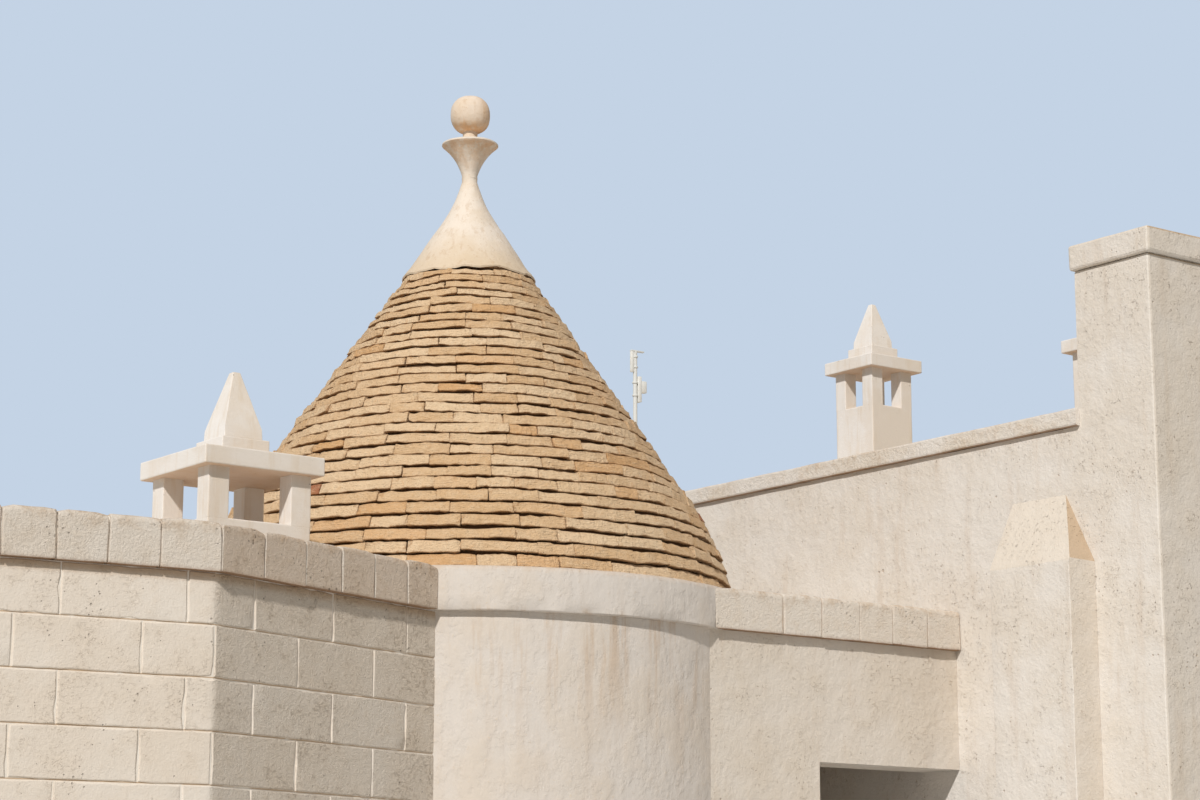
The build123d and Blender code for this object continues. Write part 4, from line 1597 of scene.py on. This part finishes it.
class TRULLO_OT_stage(Operator):
    """Lights the house and sets the floor, the backdrop and the camera"""

    bl_idname = "trullo.stage"
    bl_label = "Stage"

    def execute(self, context):
        stage = context.scene.trullo_stage
        self.floor(stage)
        self.sky(context.scene, stage)
        self.sun(context.scene, stage)
        self.camera(context.scene, stage)
        context.scene.view_settings.view_transform = "Standard"
        return {"FINISHED"}

    def floor(self, stage):
        bm = bmesh.new()
        bmesh.ops.create_circle(bm, cap_ends=True, segments=96, radius=FLOOR_RADIUS)
        made = bpy.data.objects.new("stage_floor", as_mesh(bm, "stage_floor"))
        bpy.context.scene.collection.objects.link(made)
        plain = Finish("stage_floor")
        plain.lay(tuple(stage.floor))
        made.data.materials.append(plain.done(0.9, shine=0.1))

    def sky(self, scene, stage):
        """Even light from all round, and a plain backdrop where it is seen."""
        world = bpy.data.worlds.new("studio")
        world.use_nodes = True
        scene.world = world
        tree = world.node_tree
        tree.nodes.clear()

        def add(kind, *inputs, operation=None):
            node = tree.nodes.new(kind)
            if operation:
                node.operation = operation
            for socket, value in zip(node.inputs, inputs):
                if isinstance(value, bpy.types.NodeSocket):
                    tree.links.new(value, socket)
                else:
                    socket.default_value = value
            return node.outputs

        light = add("ShaderNodeBackground", (1, 1, 1, 1), stage.sky)[0]
        seen = add("ShaderNodeBackground", (*stage.backdrop, 1), 1)[0]
        rays = add("ShaderNodeLightPath")
        share = rays["Is Camera Ray"]
        for name in ("Is Glossy Ray", "Is Transmission Ray"):
            share = add("ShaderNodeMath", share, rays[name], operation="MAXIMUM")[0]
        blend = add("ShaderNodeMixShader", share, light, seen)[0]
        add("ShaderNodeOutputWorld", blend)

    def sun(self, scene, stage):
        lamp = bpy.data.lights.new("sun", "SUN")
        lamp.energy = stage.sun
        lamp.angle = SUN_SPREAD
        lamp.color = SUN_TINT
        shines = (math.sin(SUN_ROUND_TO_WEST), math.cos(SUN_ROUND_TO_WEST), -math.tan(SUN_HEIGHT))
        self.aim(scene, "sun", lamp, Vector(shines))

    def camera(self, scene, stage):
        """The photograph's place and angle."""
        lens = bpy.data.cameras.new("camera")
        lens.lens = stage.lens
        lens.sensor_width = 36
        lens.clip_end = 500
        level = CAMERA_HEADING * math.cos(CAMERA_PITCH)
        made = self.aim(scene, "camera", lens, Vector((*level, math.sin(CAMERA_PITCH))))
        made.location = CAMERA_PLACE
        scene.camera = made

    def aim(self, scene, name, data, way):
        """Adds a lamp or a camera that points along a way."""
        made = bpy.data.objects.new(name, data)
        made.rotation_euler = way.to_track_quat("-Z", "Y").to_euler()
        scene.collection.objects.link(made)
        return made


class TRULLO_OT_carried(Operator):
    """Finishes the walls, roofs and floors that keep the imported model's shapes"""

    bl_idname = "trullo.carried"
    bl_label = "Carried shapes"

    finishes = {
        limewashed_plaster: ("drum_wall_front", "drum_wall_back", "drum_wall_upper"),
        mortar: (
            "west_front_wall",
            "west_flank_wall",
            "west_end_wall",
            "west_back_wall",
            "west_back_flank_wall",
        ),
        floated_render: ("link_front_wall", "link_back_wall", "link_doorway_head"),
        limewashed_screed: ("west_roof", "link_roof", "east_wing_roof"),
        floor_flags: ("trullo_floor", "west_floor", "link_floor", "east_wing_floor"),
    }

    def execute(self, context):
        for surface, names in self.finishes.items():
            for name in names:
                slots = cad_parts[name].data.materials
                slots.clear()
                slots.append(finish(surface))
        return {"FINISHED"}


class TRULLO_OT_cone(Operator):
    """Lays the cone's slabs round its dark core"""

    bl_idname = "trullo.cone"
    bl_label = "Cone"

    def execute(self, context):
        sizes = context.scene.trullo_sizes
        shell = ("cone_shell_front", "cone_shell_back", "cone_top")
        piece("cone_core", cone_core(), joint_earth, "cone_stone", *shell)
        slabs = cone_slabs(sizes)
        piece("cone_slabs", slabs, weathered_slabs, "cone_stone", crease=SLAB_CREASE)
        return {"FINISHED"}


class TRULLO_OT_pinnacle(Operator):
    """Makes the plastered tip, the cup and the ball"""

    bl_idname = "trullo.pinnacle"
    bl_label = "Pinnacle"

    def execute(self, context):
        for name, bm, node in (
            ("plastered_tip", plaster_tip(), "plaster_tip"),
            ("flared_cup", cup_mesh(), "pinnacle_cup"),
            ("stone_ball", ball_mesh(), "pinnacle_ball"),
        ):
            piece(name, bm, pinnacle_plaster, "plaster", node)
        return {"FINISHED"}


class TRULLO_OT_walls(Operator):
    """Lays the west wing's blocks and every low coping"""

    bl_idname = "trullo.walls"
    bl_label = "Block walls and copings"

    def execute(self, context):
        sizes = context.scene.trullo_sizes
        blocks = west_blocks(sizes)
        piece("tufa_blocks", blocks, block_tufa, "block_wall", crease=DRESSED_CREASE)
        stones, beds = west_copings(sizes)
        piece("west_coping_stones", stones, coping_tufa, "coping_stone", "west_coping")
        stones = link_copings(sizes, beds)
        nodes = ("link_front_coping", "link_back_coping")
        piece("link_coping_stones", stones, coping_tufa, "coping_stone", *nodes)
        piece("coping_joints", beds, mortar, "coping_stone")
        piece("drum_band", drum_coping(sizes), limewashed_plaster, "plaster", "drum_coping")
        return {"FINISHED"}


class TRULLO_OT_east(Operator):
    """Renders the east wing's walls, its coping, the stack and the buttress"""

    bl_idname = "trullo.east"
    bl_label = "East wing"

    def execute(self, context):
        sizes = context.scene.trullo_sizes
        shaft = stack_mesh("stack_shaft", sizes, 0.012)
        cap = stack_mesh("stack_cap", sizes, 0.016)
        for name, bm, surface, nodes in (
            ("rendered_walls", east_walls(sizes), floated_render, EAST_WALLS),
            ("rendered_stack", shaft, floated_render, ("stack_shaft",)),
            ("rendered_cap", cap, floated_render, ("stack_cap",)),
            ("rendered_coping", east_copings(sizes), render_band, ("east_wing_coping",)),
            ("rendered_buttress", buttress_mesh(sizes), floated_render, ("buttress",)),
        ):
            piece(name, bm, surface, "render", *nodes, crease=DRESSED_CREASE)
        return {"FINISHED"}


class TRULLO_OT_chimneys(Operator):
    """Makes the four-post chimney and the two small ones"""

    bl_idname = "trullo.chimneys"
    bl_label = "Chimneys"

    def execute(self, context):
        self.four_post_chimney()
        for number in (1, 2):
            self.small_chimney(number)
        return {"FINISHED"}

    def stone(self, name, bm, node):
        piece(name, bm, fine_stone, "chimney_stone", node, crease=DRESSED_CREASE)

    def four_post_chimney(self):
        base = dressed_box(bmesh.new(), *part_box("west_chimney_base"), edge=0.008)
        posts = four_posts(bmesh.new(), *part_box("west_chimney_posts"), WEST_POST, edge=0.006)
        slab = dressed_box(bmesh.new(), *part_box("west_chimney_slab"), edge=0.007)
        self.stone("chimney_block", base, "west_chimney_base")
        self.stone("chimney_posts", posts, "west_chimney_posts")
        self.stone("chimney_slab", slab, "west_chimney_slab")
        point = point_mesh("west_chimney_point", **WEST_POINT)
        self.stone("chimney_point", point, "west_chimney_point")

    def small_chimney(self, number):
        nodes = f"small_chimney_{number}"
        low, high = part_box(f"{nodes}_shaft")
        sill = high.z - SMALL_VENT
        shaft = dressed_box(bmesh.new(), low, (high.x, high.y, sill), edge=0.008)
        four_posts(shaft, (low.x, low.y, sill), high, SMALL_POST, edge=0.005)
        slab = dressed_box(bmesh.new(), *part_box(f"{nodes}_slab"), edge=0.006)
        point = point_mesh(f"{nodes}_point", **SMALL_POINT)
        for part, bm in (("shaft", shaft), ("slab", slab), ("point", point)):
            self.stone(f"lantern_{number}_{part}", bm, f"{nodes}_{part}")


class TRULLO_OT_mast(Operator):
    """Makes the mast on the east roof with its two housings"""

    bl_idname = "trullo.mast"
    bl_label = "Mast"

    def execute(self, context):
        panel = housing(bmesh.new(), *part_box("antenna_panel"))
        for name, bm, surface, slot, node in (
            ("mast_pole", mast_mesh(), worn_paint, "mast_paint", "antenna_mast"),
            ("mast_top_bar", mast_bar(), worn_paint, "mast_paint", "mast_bar"),
            ("mast_box", antenna_box(), matt_plastic, "antenna_plastic", "antenna_box"),
            ("mast_panel", panel, matt_plastic, "antenna_plastic", "antenna_panel"),
        ):
            piece(name, bm, surface, slot, node)
        return {"FINISHED"}


STEPS = (
    TRULLO_OT_stage,
    TRULLO_OT_carried,
    TRULLO_OT_cone,
    TRULLO_OT_pinnacle,
    TRULLO_OT_walls,
    TRULLO_OT_east,
    TRULLO_OT_chimneys,
    TRULLO_OT_mast,
)

GROUPS = {
    "trullo_sizes": TrulloSizes,
    "trullo_colours": TrulloColours,
    "trullo_stage": TrulloStage,
}


class TRULLO_PT_panel(Panel):
    """Lists the house's pieces and settings"""

    bl_idname = "TRULLO_PT_panel"
    bl_label = "Trullo house"
    bl_space_type = "VIEW_3D"
    bl_region_type = "UI"
    bl_category = "Trullo"

    def draw(self, context):
        for step in STEPS:
            self.layout.operator(step.bl_idname)
        for group in GROUPS:
            settings = getattr(context.scene, group)
            column = self.layout.column(align=True)
            for name in settings.bl_rna.properties.keys():
                if name not in ("rna_type", "name"):
                    column.prop(settings, name)


CLASSES = (*GROUPS.values(), *STEPS, TRULLO_PT_panel)


def register():
    for each in CLASSES:
        bpy.utils.register_class(each)
    for name, group in GROUPS.items():
        setattr(bpy.types.Scene, name, PointerProperty(type=group))


def unregister():
    for name in GROUPS:
        delattr(bpy.types.Scene, name)
    for each in reversed(CLASSES):
        bpy.utils.unregister_class(each)


def main():
    register()
    bpy.ops.trullo.stage()
    bpy.ops.trullo.carried()
    bpy.ops.trullo.cone()
    bpy.ops.trullo.pinnacle()
    bpy.ops.trullo.walls()
    bpy.ops.trullo.east()
    bpy.ops.trullo.chimneys()
    bpy.ops.trullo.mast()


if __name__ == "__main__":
    main()
